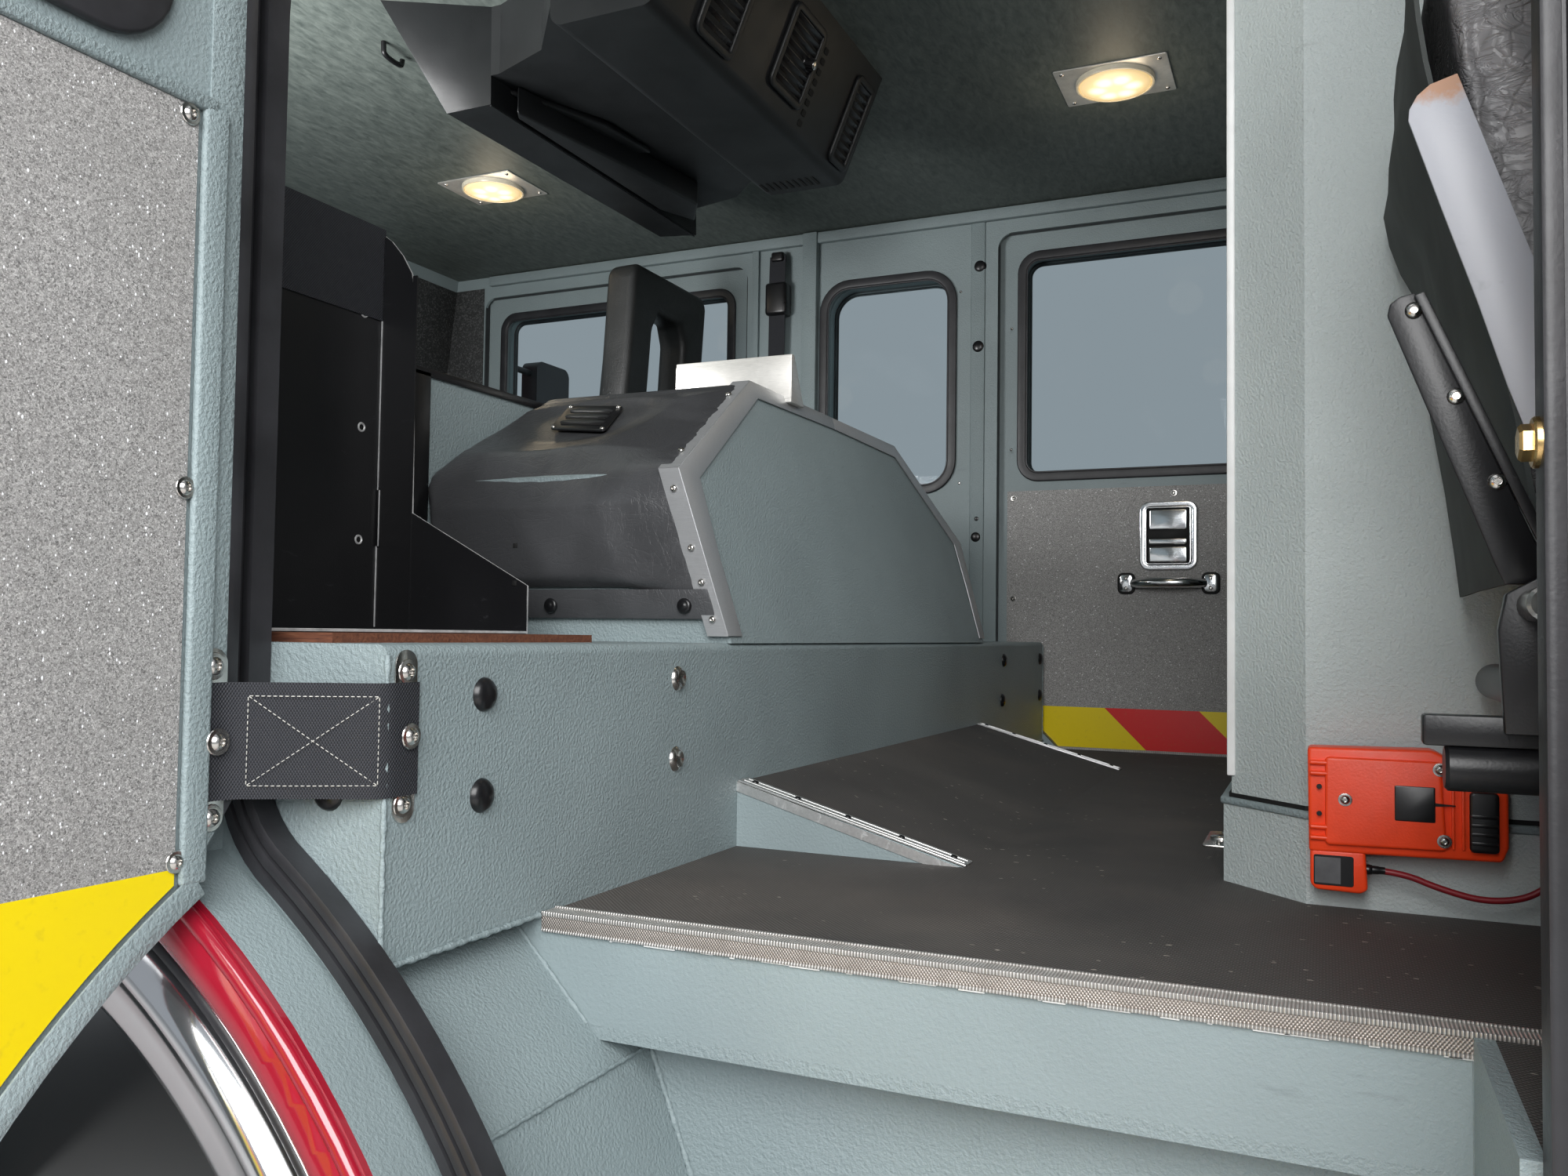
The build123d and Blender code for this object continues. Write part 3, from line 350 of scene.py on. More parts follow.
def fleck_panel(name, along, hinge_at, facing, stripe_from=0.617, stripe_pitch=0.442):
    """Fleck laminate with a yellow and red chevron band below it."""
    finish = Finish(name)
    flecks = [(0.0, (0.10, 0.098, 0.096)), (0.20, (0.26, 0.255, 0.248)), (0.55, (0.37, 0.363, 0.352)),
              (0.84, (0.56, 0.55, 0.535))]
    base = finish.ramp(finish.tones(740.0), flecks, "CONSTANT")
    grains = [(0.0, (0.09, 0.088, 0.087)), (0.24, (0.32, 0.315, 0.308)), (0.84, (0.62, 0.61, 0.60))]
    grain = finish.ramp(finish.tones(1450.0), grains, "CONSTANT")
    base = finish.mix(0.5, base, grain)
    slanted = finish.stretched((1.0, 1.9, 1.2), (0.5, 0.3, 0.7))
    sparkle = finish.tones(330.0, slanted, 1) > 0.966
    middle = finish.cells(330.0, where=slanted) < finish.noise(90.0) * 0.75
    base = finish.mix(sparkle * middle, base, (0.92, 0.93, 0.95))
    dirt = finish.noise(7.0, 3.0).between(0.35, 0.75)
    base = finish.mix(dirt * 0.25, base, (0.19, 0.185, 0.175))
    axes = finish.axes()
    from_hinge = (axes[along] - hinge_at) * facing
    height = axes[2]
    slant = (from_hinge + height - stripe_from) / stripe_pitch
    phase = slant - slant.floor()
    band = height < STRIPE_TOP
    stripe = finish.mix((phase < 0.5), YELLOW, STRIPE_RED)
    wear = finish.noise(120.0, 2.0).between(0.62, 0.75) * 0.12
    stripe = finish.mix(wear, stripe, (0.35, 0.25, 0.05))
    finish.set("Base Color", finish.mix(band, base, stripe))
    finish.set("Roughness", 0.62 - band * 0.30)
    finish.set("Normal", finish.bump(finish.noise(900.0, 2.0), 0.0003, 0.2))
    return finish.material


def simple(name, base, rough, grain=None, grain_depth=0.0003, metal=0.0, clouds=(8.0, 0.25), **sockets):
    """A finish with cloudy colour, uneven gloss and a fine grain."""
    finish = Finish(name, Metallic=metal, **sockets)
    patches = finish.noise(clouds[0], 4.0, 0.6)
    dark = tuple(c * (1 - clouds[1]) for c in base)
    pale = tuple(min(1.0, c * (1 + clouds[1])) for c in base)
    finish.set("Base Color", finish.mix(patches.between(0.3, 0.7), dark, pale))
    smudge = finish.noise(clouds[0] * 3.0, 3.0)
    finish.set("Roughness", rough * 0.8 + smudge * (rough * 0.45))
    if grain:
        finish.set("Normal", finish.bump(finish.noise(grain, 3.0), grain_depth, 0.5))
    return finish.material


def vinyl(name, base=(0.013, 0.013, 0.014), rough=0.40):
    """Black upholstery vinyl: creases, pebbled grain, and paler patches that are partly wear and partly
    painted sheen.
    """
    finish = Finish(name)
    warp = finish.noise(14.0, 3.0, 0.6, finish.stretched((1.0, 1.0, 2.2), (0.0, 0.6, 0.3)), 1.6)
    crease = abs(warp - 0.5).between(0.0, 0.05)
    long_crease = finish.noise(30.0, 3.0, 0.6, finish.stretched((2.6, 1.0, 1.0), (0.4, 0.9, 0.5)), 1.2)
    fine_crease = abs(long_crease - 0.5).between(0.0, 0.04)
    pebbles = finish.cells(420.0)
    rubbed_and_sheen = finish.noise(5.0, 3.0).between(0.45, 0.75)
    # Paler patches: partly wear, partly painted sheen.
    finish.set("Base Color", finish.mix(rubbed_and_sheen * 0.5, base, tuple(c * 2.6 + 0.004 for c in base)))
    finish.set("Roughness", rough + rubbed_and_sheen * 0.12 - crease * 0.05)
    height = crease * 0.35 + fine_crease * 0.25 + pebbles * 0.18
    finish.set("Normal", finish.bump(height, 0.0008, 0.5))
    return finish.material


def creased_vinyl(name):
    """Black seat vinyl coloured silver-grey as painted sheen, with a net of short creases whose lines are
    darkened as painted shade.
    """
    finish = Finish(name)
    net = finish.node("TexVoronoi", {"feature": "DISTANCE_TO_EDGE"}, {
        "Vector": finish.stretched((1.0, 1.5, 1.0), (0.5, 0.2, 0.8)), "Scale": 62.0, "Randomness": 1.0})
    creases = net.between(0.0, 0.10)
    folds = abs(finish.noise(26.0, 4.0, 0.65, finish.stretched((1.0, 1.0, 2.4), (0.6, 0.5, 0.1)), 1.4) - 0.5)
    fold = folds.between(0.0, 0.07)
    rubbed_and_sheen = finish.noise(5.0, 3.0).between(0.35, 0.7)
    # Paler patches on the pale base: partly wear, partly painted sheen.
    base = finish.mix(rubbed_and_sheen, (0.24, 0.235, 0.24), (0.42, 0.41, 0.41))
    # Darker crease lines: painted shade in the creases.
    base = finish.mix((1 - creases) * 0.45, base, (0.11, 0.105, 0.105))
    finish.set("Base Color", base)
    finish.set("Roughness", 0.36 + rubbed_and_sheen * 0.1)
    finish.set("Normal", finish.bump(creases * 0.35 + fold * 0.65, 0.0016, 0.7))
    return finish.material


def sunlit_worn_flange():
    """Steel flange coloured pale grey as a painted highlight of sunlight on it, rusted at its upper corner.
    """
    finish = Finish("sunlit_seat_steel")
    _, _, z = finish.axes()
    stains = finish.noise(30.0, 4.0, 0.6).between(0.60, 0.72)
    rust = (z + finish.noise(70.0, 4.0, 0.7) * 0.03).between(0.858, 0.868)
    # The pale grey base colour is painted sunlight; the darker patches are stains.
    base = finish.mix(stains * 0.5, (0.41, 0.42, 0.46), (0.20, 0.20, 0.21))
    finish.set("Base Color", finish.mix(rust * 0.85, base, (0.46, 0.24, 0.13)))
    finish.set("Roughness", 0.38 + rust * 0.35 + stains * 0.1)
    finish.set("Normal", finish.bump(finish.noise(260.0, 3.0), 0.0003, 0.3))
    return finish.material


def spatter_lining():
    """Dark lining with a fine pale spatter."""
    finish = Finish("spatter_lining")
    spots = [(0.0, (0.022, 0.023, 0.024)), (0.45, (0.045, 0.047, 0.048)), (0.80, (0.105, 0.108, 0.108))]
    base = finish.ramp(finish.tones(260.0), spots, "CONSTANT")
    clouds = finish.noise(6.0, 3.0).between(0.3, 0.7)
    finish.set("Base Color", finish.mix(clouds * 0.4, base, (0.05, 0.052, 0.052)))
    finish.set("Roughness", 0.7 + clouds * 0.1)
    finish.set("Normal", finish.bump(finish.noise(600.0, 3.0), 0.0005, 0.6))
    return finish.material


def mat(finish):
    """Colour, roughness and height of the black mat: fine pips, dust and crumbs."""
    x, y, _ = finish.axes()
    pitch = 2 * pi / 0.0046
    pips = (x * pitch).sine() * (y * pitch).sine()
    worn = finish.noise(4.0, 4.0, 0.6).between(0.35, 0.7)
    base = finish.mix(worn, (0.026, 0.024, 0.023), (0.062, 0.056, 0.051))
    base = finish.mix(pips.between(-0.1, 0.8) * 0.8, base, (0.150, 0.142, 0.136))
    dust = finish.noise(1.6, 5.0, 0.65).between(0.48, 0.72)
    base = finish.mix(dust * 0.35, base, (0.16, 0.13, 0.11))
    crumbs = finish.cells(52.0, where=finish.stretched((1.0, 1.6, 1.0), (0.0, 0.0, 0.6)))
    crumb_here = (crumbs < (finish.noise(90.0) - 0.30) * 0.42) * finish.noise(5.0).between(0.48, 0.56)
    base = finish.mix(crumb_here * 0.8, base, (0.42, 0.38, 0.33))
    return base, 0.62 + worn * 0.2, pips + crumb_here * 2.0


def serrated_aluminium():
    """Step nosing: fine cross ribs on top and a knurl on the front."""
    finish = Finish("serrated_aluminium", Metallic=0.55)
    x, _, z = finish.axes()
    front = (z < 0.2495) * (z > 0.2385)
    ribs = (x * (2 * pi / 0.0026)).sine()
    knurl = ribs * (z * (2 * pi / 0.0034)).sine()
    ticks = ribs * (1 - front) + knurl * front
    dirt = finish.noise(40.0, 4.0, 0.6).between(0.45, 0.75)
    top_tone = finish.mix(ticks.between(-0.5, 0.4), (0.40, 0.38, 0.36), (0.80, 0.78, 0.75))
    front_tone = finish.mix(ticks.between(-0.5, 0.5), (0.26, 0.225, 0.20), (0.58, 0.53, 0.49))
    tone = finish.mix(front, top_tone, front_tone)
    finish.set("Base Color", finish.mix(dirt * 0.45, tone, (0.22, 0.20, 0.18)))
    finish.set("Roughness", 0.36 + dirt * 0.3)
    finish.set("Normal", finish.bump(ticks, 0.0006, 0.8))
    return finish.material


def brushed(name, base, rough, direction=(1.0, 40.0, 1.0), scratches=0.5, metal=1.0):
    """Brushed or scratched bare metal."""
    finish = Finish(name, Metallic=metal)
    lines = finish.noise(60.0, 4.0, 0.7, finish.stretched(direction))
    marks = finish.noise(22.0, 5.0, 0.65, finish.stretched((1.0, 3.0, 0.5), (0.5, 0.3, 0.9)), 0.8)
    mark = abs(marks - 0.5).between(0.0, 0.02)
    finish.set("Base Color", finish.mix(lines.between(0.3, 0.7), tuple(c * 0.82 for c in base), base))
    finish.set("Roughness", rough + lines * 0.12 + (1 - mark) * scratches * 0.2)
    finish.set("Normal", finish.bump(lines + mark * scratches, 0.0003, 0.3))
    return finish.material


def black_steel():
    """Satin black sheet steel with faint pale scuffs."""
    finish = Finish("black_steel")
    scuffs = finish.noise(16.0, 6.0, 0.7, finish.stretched((1.0, 2.0, 5.0), (0.7, 0.2, 0.4)), 0.6)
    scuff = scuffs.between(0.64, 0.72)
    dust = finish.noise(4.0, 3.0).between(0.4, 0.8)
    base = finish.mix(scuff * 0.25, (0.007, 0.007, 0.008), (0.10, 0.10, 0.11))
    finish.set("Base Color", finish.mix(dust * 0.15, base, (0.05, 0.05, 0.055)))
    finish.set("Roughness", 0.34 + scuff * 0.25 + dust * 0.08)
    finish.set("Normal", finish.bump(finish.noise(500.0, 2.0), 0.0003, 0.3))
    return finish.material


def board_wood():
    """Dark reddish board with its grain along X."""
    finish = Finish("board_wood")
    grain = finish.noise(30.0, 5.0, 0.6, finish.stretched((1.0, 9.0, 9.0)), 0.8)
    tones = [(0.3, (0.07, 0.021, 0.011)), (0.55, (0.15, 0.052, 0.025)), (0.8, (0.22, 0.095, 0.05))]
    finish.set("Base Color", finish.ramp(grain, tones))
    finish.set("Roughness", 0.75 - grain * 0.1)
    finish.set("Normal", finish.bump(grain, 0.0008, 0.6))
    return finish.material


def headliner_finish():
    """Grey-green lining with brushed, cloudy streaks."""
    finish = Finish("headliner_finish")
    streaks = finish.noise(26.0, 5.0, 0.65, finish.stretched((3.0, 1.0, 1.0), (0.0, 0.0, 0.6)), 0.5)
    clouds = finish.noise(4.0, 3.0)
    base = finish.mix(streaks.between(0.3, 0.7), (0.062, 0.076, 0.070), (0.160, 0.185, 0.168))
    base = finish.mix(clouds.between(0.3, 0.75) * 0.3, base, (0.06, 0.075, 0.07))
    finish.set("Base Color", base)
    finish.set("Roughness", 0.48 + streaks * 0.15)
    finish.set("Normal", finish.bump(streaks, 0.0009, 0.4))
    return finish.material


def webbing():
    """Tight black webbing with a raised weave."""
    finish = Finish("webbing")
    x, y, z = finish.axes()
    warp = ((x + y) * (2 * pi / 0.0030)).sine()
    weft = (z * (2 * pi / 0.0036)).sine()
    weave = warp * weft
    fuzz = finish.noise(90.0, 4.0)
    raised = weave.between(-0.6, 1.0) * 0.8
    finish.set("Base Color", finish.mix(raised, (0.006, 0.007, 0.010), (0.048, 0.050, 0.060)))
    finish.set("Roughness", 0.62 + fuzz * 0.2)
    finish.set("Normal", finish.bump(weave + fuzz * 0.4, 0.0005, 0.7))
    return finish.material


def window_glass(name, tint=(0.90, 0.96, 0.97)):
    """Clear pane: mostly see-through, with a clean reflection."""
    finish = Finish(name)
    finish.set("Base Color", (0.02, 0.025, 0.028))
    smears = finish.noise(6.0, 4.0).between(0.5, 0.9)
    finish.set("Roughness", 0.015 + smears * 0.03)
    clear = finish.tree.nodes.new("ShaderNodeBsdfTransparent")
    clear.inputs[0].default_value = (*tint, 1.0)
    edge = finish.node("LayerWeight", None, {0: 0.12}, out="Fresnel")
    joined = finish.tree.nodes.new("ShaderNodeMixShader")
    finish.feed(joined.inputs[0], edge * 0.6 + 0.05)
    finish.tree.links.new(clear.outputs[0], joined.inputs[1])
    finish.tree.links.new(finish.shader.outputs[0], joined.inputs[2])
    finish.tree.links.new(joined.outputs[0], finish.output.inputs[0])
    return finish.material


def lit_lens(spots):
    """Warm lens over a ring of lamps."""
    finish = Finish("lit_lens")
    x, y, _ = finish.axes()
    glow = None
    for cx, cy in spots:
        dx = x - cx * MM
        dy = y - cy * MM
        near = 1 - (dx * dx + dy * dy).root().between(0.005, 0.022)
        glow = glow.largest(near) if glow else near
    finish.set("Base Color", (0.70, 0.62, 0.45))
    finish.set("Roughness", 0.25 + finish.noise(40.0) * 0.1)
    finish.set("Emission Color", finish.mix(glow, (0.62, 0.42, 0.17), (1.0, 0.95, 0.80)))
    finish.set("Emission Strength", 0.9)
    return finish.material


def lead_finish():
    """Red jacket of the charger's lead."""
    finish = Finish("lead_finish", Roughness=0.42)
    shade = finish.noise(50.0, 2.0)
    finish.set("Base Color", finish.mix(shade, (0.30, 0.012, 0.02), (0.20, 0.010, 0.016)))
    return finish.material


# Mesh helpers: sizes are in millimetres, and each maker hands back a bmesh of its own

def show(name, mesh, body, replaces=()):
    """Put a mesh in the scene as a piece that rides on a body, or on none."""
    piece = bpy.data.objects.new(name, mesh)
    bpy.context.scene.collection.objects.link(piece)
    if body:
        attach(piece, body)
    if replaces:
        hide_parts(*replaces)
    return piece


def finished(name, part, material, body="root", replaces=(), smooth=40.0):
    """Turn a bmesh into a piece of the object."""
    bmesh.ops.remove_doubles(part, verts=part.verts, dist=0.0005)
    bmesh.ops.recalc_face_normals(part, faces=part.faces)
    bmesh.ops.scale(part, vec=(MM, MM, MM), verts=part.verts)
    mesh = bpy.data.meshes.new(name)
    for face in part.faces:
        face.smooth = True
    part.to_mesh(mesh)
    part.free()
    mesh.set_sharp_from_angle(angle=radians(smooth))
    materials = material if isinstance(material, (list, tuple)) else [material]
    for one in materials:
        mesh.materials.append(one)
    return show(name, mesh, body, replaces)


def new_verts(geometry):
    return [g for g in geometry if isinstance(g, bmesh.types.BMVert)]


def soften(part, size, segments=2, angle=0.4):
    """Round off the edges that are sharper than an angle."""
    part.normal_update()
    edges = [e for e in part.edges if len(e.link_faces) == 2 and e.calc_face_angle(0.0) > angle]
    bmesh.ops.bevel(part, geom=edges, offset=size, offset_type="OFFSET", segments=segments, profile=0.5,
                    affect="EDGES", material=-1)


def join(whole, *parts, material=0):
    """Add parts to a whole, with one of its materials."""
    for part in parts:
        if material:
            for face in part.faces:
                face.material_index = material
        mesh = bpy.data.meshes.new("part")
        part.to_mesh(mesh)
        part.free()
        whole.from_mesh(mesh)
        bpy.data.meshes.remove(mesh)
    return whole


def moved(part, matrix):
    bmesh.ops.transform(part, matrix=matrix, verts=part.verts)
    return part


def block(low, high, round_off=0.0, segments=2):
    """A box between two corners with its edges rounded."""
    size = Vector(high) - Vector(low)
    place = Matrix.Translation((Vector(low) + Vector(high)) / 2) @ Matrix.Diagonal((*size, 1.0))
    part = bmesh.new()
    bmesh.ops.create_cube(part, size=1.0, matrix=place)
    if round_off:
        soften(part, round_off, segments)
    return part


def slab(outline, push, round_off=0.0, segments=2, corner=0.0, edge_material=None):
    """A plate: an outline in space, pushed along a vector."""
    part = bmesh.new()
    verts = [part.verts.new(p) for p in outline]
    part.faces.new(verts)
    if corner:
        bmesh.ops.bevel(part, geom=verts, offset=corner, segments=6, profile=0.5, affect="VERTICES",
                        material=-1)
    grown = bmesh.ops.extrude_face_region(part, geom=part.faces[:])["geom"]
    bmesh.ops.translate(part, verts=new_verts(grown), vec=push)
    bmesh.ops.recalc_face_normals(part, faces=part.faces)
    if edge_material is not None:
        along = Vector(push).normalized()
        for face in part.faces:
            if abs(face.normal.dot(along)) < 0.5:
                face.material_index = edge_material
    if round_off:
        soften(part, round_off, segments)
    return part


def on_plane(plane, at, corners):
    """Points on a plane: 'x' takes Y and Z, 'y' takes X and Z, 'z' takes X and Y."""
    return [{"x": (at, a, b), "y": (a, at, b), "z": (a, b, at)}[plane] for a, b in corners]


def rectangle(plane, at, a0, a1, b0, b1):
    return on_plane(plane, at, [(a0, b0), (a1, b0), (a1, b1), (a0, b1)])


def turned(profile, centre, axis, steps=24):
    """A round piece: (radius, height) pairs turned about an axis through its centre."""
    part = bmesh.new()
    start = [part.verts.new((r, 0.0, h)) for r, h in profile]
    edges = [part.edges.new(pair) for pair in zip(start, start[1:])]
    bmesh.ops.spin(part, geom=start + edges, cent=(0, 0, 0), axis=(0, 0, 1), angle=2 * pi, steps=steps,
                   use_merge=True)
    bmesh.ops.remove_doubles(part, verts=part.verts, dist=0.0005)
    turn = Vector((0, 0, 1)).rotation_difference(Vector(axis)).to_matrix().to_4x4()
    return moved(part, Matrix.Translation(centre) @ turn)


def bar(start, end, r, steps=20, round_off=1.0):
    """A round bar with softened ends."""
    length = (Vector(end) - Vector(start)).length
    profile = [(0, 0), (r - round_off, 0), (r, round_off), (r, length - round_off), (r - round_off, length),
               (0, length)]
    return turned(profile, start, Vector(end) - Vector(start), steps)


def frame_ring(outline, corner, width, push, round_off, segments=3):
    """A rounded frame: the outline is its outer edge, and the width is its band."""
    part = bmesh.new()
    verts = [part.verts.new(p) for p in outline]
    part.faces.new(verts)
    bmesh.ops.bevel(part, geom=verts, offset=corner, segments=8, profile=0.5, affect="VERTICES", material=-1)
    inner = part.faces[:]
    bmesh.ops.inset_region(part, faces=inner, thickness=width, use_boundary=True, use_even_offset=True)
    bmesh.ops.delete(part, geom=inner, context="FACES_ONLY")
    grown = bmesh.ops.extrude_face_region(part, geom=part.faces[:])["geom"]
    bmesh.ops.translate(part, verts=new_verts(grown), vec=push)
    bmesh.ops.recalc_face_normals(part, faces=part.faces)
    if round_off:
        soften(part, round_off, segments, 0.9)
    return part


def ribbon(points, width, thick, subdivide=0):
    """A band: an edge carried along points, then given a thickness."""
    part = bmesh.new()
    edge = part.edges.new([part.verts.new(points[0]), part.verts.new(Vector(points[0]) + Vector(width))])
    for a, b in zip(points, points[1:]):
        fresh = new_verts(bmesh.ops.extrude_edge_only(part, edges=[edge])["geom"])
        bmesh.ops.translate(part, verts=fresh, vec=Vector(b) - Vector(a))
        edge = part.edges.get(fresh)
    if subdivide:
        across = [e for e in part.edges if abs((e.verts[0].co - e.verts[1].co).normalized().dot(
            Vector(width).normalized())) > 0.9]
        bmesh.ops.subdivide_edges(part, edges=across, cuts=subdivide, use_grid_fill=True)
    bmesh.ops.recalc_face_normals(part, faces=part.faces)
    bmesh.ops.solidify(part, geom=part.faces[:], thickness=thick)
    return part


def ribbed_ring(outline, ribs, rise_axis):
    """A ring of rubber ribs: (width, rise) steps inwards from the outline."""
    part = bmesh.new()
    face = part.faces.new([part.verts.new(p) for p in outline])
    for width, rise in ribs:
        bmesh.ops.inset_region(part, faces=[face], thickness=width, use_boundary=True, use_even_offset=True)
        bmesh.ops.translate(part, verts=list(face.verts), vec=Vector(rise_axis) * rise)
    bmesh.ops.delete(part, geom=[face], context="FACES_ONLY")
    return part


def arc_band(profile, centre, first, last, steps=72):
    """A closed section of (radius, Y) points turned part of the way round the wheel's axis."""
    part = bmesh.new()
    start = [part.verts.new((r * cos(first), y, r * sin(first))) for r, y in profile]
    face = part.faces.new(start)
    section = [face, *face.edges, *start]
    bmesh.ops.spin(part, geom=section, cent=(0, 0, 0), axis=(0, -1, 0), angle=last - first, steps=steps)
    return moved(part, Matrix.Translation(centre))


def bead(points, r, seed=0.0, step=4.0):
    """An uneven weld bead along a line."""
    path = bpy.data.curves.new("bead", "CURVE")
    path.dimensions = "3D"
    path.bevel_depth = r * MM
    path.bevel_resolution = 2
    path.use_fill_caps = True
    places = []
    for a, b in zip(points, points[1:]):
        a, b = Vector(a), Vector(b)
        count = max(1, int((b - a).length / step))
        places += [a.lerp(b, i / count) for i in range(count)]
    places.append(Vector(points[-1]))
    line = path.splines.new("POLY")
    line.points.add(len(places) - 1)
    for i, (point, place) in enumerate(zip(line.points, places)):
        point.co = (*(place * MM), 1.0)
        point.radius = 1.0 + 0.22 * sin(i * 1.7 + seed) + 0.15 * sin(i * 0.61 + seed * 2)
    return curve_part(path)


def curve_part(path):
    """A curve's mesh as a bmesh in millimetres."""
    holder = bpy.data.objects.new("curve", path)
    bpy.context.scene.collection.objects.link(holder)
    bpy.context.view_layer.update()
    mesh = bpy.data.meshes.new_from_object(holder.evaluated_get(bpy.context.evaluated_depsgraph_get()))
    bpy.data.objects.remove(holder)
    part = bmesh.new()
    part.from_mesh(mesh)
    bpy.data.meshes.remove(mesh)
    return moved(part, Matrix.Scale(1 / MM, 4))


def screw(place, normal, r=6.0, washer=True):
    """A dished screw with a socket, on a washer."""
    profile = [(0, r * 0.25), (r * 0.40, r * 0.25), (r * 0.46, r * 0.62), (r * 0.78, r * 0.50), (r, r * 0.16)]
    if washer:
        profile += [(r * 1.05, r * 0.16), (r * 1.42, r * 0.12), (r * 1.5, 0)]
    else:
        profile += [(r, 0)]
    return turned([*profile, (0, 0)], place, normal, 18)


def plug(place, normal, r=12.0, h=6.0):
    """A domed plastic hole plug."""
    profile = [(0, h), (r * 0.45, h * 0.94), (r * 0.78, h * 0.70), (r * 0.95, h * 0.32), (r, 0), (0, 0)]
    return turned(profile, place, normal, 20)


def cut_off(part, point, normal):
    """Cut a closed part with a plane, drop what lies beyond, and close the cut."""
    geometry = part.verts[:] + part.edges[:] + part.faces[:]
    bmesh.ops.bisect_plane(part, geom=geometry, plane_co=point, plane_no=normal, clear_outer=True)
    bmesh.ops.holes_fill(part, edges=[e for e in part.edges if len(e.link_faces) == 1])
    return part


def flipped(part):
    """The same part on the cab's right side."""
    copy = part.copy()
    moved(copy, Matrix.Scale(-1.0, 4, (0, 1, 0)))
    bmesh.ops.reverse_faces(copy, faces=copy.faces)
    return copy


def on_side(part, side):
    """The part as made for the left side, or its mirror image for the right."""
    return part if side > 0 else flipped(part)


def stuffed(name, part, material, body, replaces=(), voxel=8.0, pressure=4.0, cap=12.0, frames=12,
            held=None):
    """A padded piece: remeshed, blown up by cloth pressure with its movement capped, then smoothed."""
    moved(part, Matrix.Scale(MM, 4))
    mesh = bpy.data.meshes.new(name)
    part.to_mesh(mesh)
    part.free()
    piece = bpy.data.objects.new(name, mesh)
    scene = bpy.context.scene
    scene.collection.objects.link(piece)
    remesh = piece.modifiers.new("even", "REMESH")
    remesh.mode = "VOXEL"
    remesh.voxel_size = voxel * MM
    bpy.context.view_layer.update()
    even = bpy.data.meshes.new_from_object(piece.evaluated_get(bpy.context.evaluated_depsgraph_get()))
    piece.modifiers.clear()
    piece.data = even
    bpy.data.meshes.remove(mesh)
    rest = [v.co.copy() for v in even.vertices]
    cloth = piece.modifiers.new("stuffing", "CLOTH")
    cloth.settings.use_pressure = True
    cloth.settings.uniform_pressure_force = pressure
    cloth.settings.effector_weights.gravity = 0.0
    cloth.point_cache.frame_start = 1
    cloth.point_cache.frame_end = frames
    for number in range(1, frames + 1):
        scene.frame_set(number)
    blown = bpy.data.meshes.new_from_object(piece.evaluated_get(bpy.context.evaluated_depsgraph_get()))
    piece.modifiers.clear()
    places = [v.co.copy() for v in blown.vertices]
    bpy.data.meshes.remove(blown)
    scene.frame_set(1)
    for vertex, before, after in zip(even.vertices, rest, places):
        step = after - before
        if step.length > cap * MM:
            step *= cap * MM / step.length
        free = 1.0 - held(before / MM) if held else 1.0
        vertex.co = before + step * free
    even.polygons.foreach_set("use_smooth", [True] * len(even.polygons))
    even.materials.clear()
    even.materials.append(material)
    smooth = piece.modifiers.new("smooth", "SUBSURF")
    smooth.levels = 1
    smooth.render_levels = 1
    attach(piece, body)
    if replaces:
        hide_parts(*replaces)
    return piece


def fading(value, full, free):
    """1 at the first mark and 0 at the second, with an even slope between them."""
    return min(1.0, max(0.0, (value - free) / (full - free)))


def twin(piece, name, body, replaces=()):
    """A padded piece's mirror image on the cab's right side."""
    mesh = piece.data.copy()
    mesh.transform(Matrix.Scale(-1.0, 4, (0, 1, 0)))
    mesh.flip_normals()
    other = show(name, mesh, body, replaces)
    smooth = other.modifiers.new("smooth", "SUBSURF")
    smooth.levels = 1
    smooth.render_levels = 1
    return other


def paint(material, *names):
    """Give carried-over CAD nodes a finish."""
    for name in names:
        mesh = nodes[name].data
        mesh.materials.clear()
        mesh.materials.append(material)


set_camera()

# Finishes
grey = painted("grey_coating")
cushion_vinyl = vinyl("cushion_vinyl")
moulded = simple("moulded_black", (0.010, 0.011, 0.012), 0.42, 800.0, 0.0004, clouds=(6.0, 0.3))
seal_rubber = simple("seal_rubber", (0.024, 0.024, 0.027), 0.40, 300.0, 0.0003, clouds=(12.0, 0.4))
plug_plastic = simple("plug_plastic", (0.008, 0.008, 0.009), 0.28)
chrome = simple("chrome", (0.80, 0.81, 0.82), 0.13, metal=1.0, clouds=(5.0, 0.08))
screw_steel = simple("screw_steel", (0.62, 0.60, 0.57), 0.22, metal=1.0, clouds=(60.0, 0.2))
aluminium = brushed("trim_aluminium", (0.66, 0.67, 0.68), 0.28)
trim_metal = brushed("edge_trim_metal", (0.46, 0.47, 0.48), 0.36, (1.0, 6.0, 30.0), 0.35, 0.5)
box_metal = brushed("box_metal", (0.74, 0.72, 0.68), 0.30, (1.0, 1.0, 12.0), 0.2, 0.6)
nosing = serrated_aluminium()
steel_black = black_steel()
# Pale grey on the cradle's cut edges, hole burrs and corner lines: painted highlight.
painted_edge_highlight = simple("painted_edge_highlight", (0.62, 0.62, 0.62), 0.40, metal=0.3, clouds=(40.0, 0.3))
white_edge = simple("white_edge", (0.74, 0.75, 0.74), 0.35, clouds=(20.0, 0.08))
wood = board_wood()
lining = headliner_finish()
seat_vinyl = vinyl("seat_vinyl", (0.016, 0.017, 0.017), 0.46)
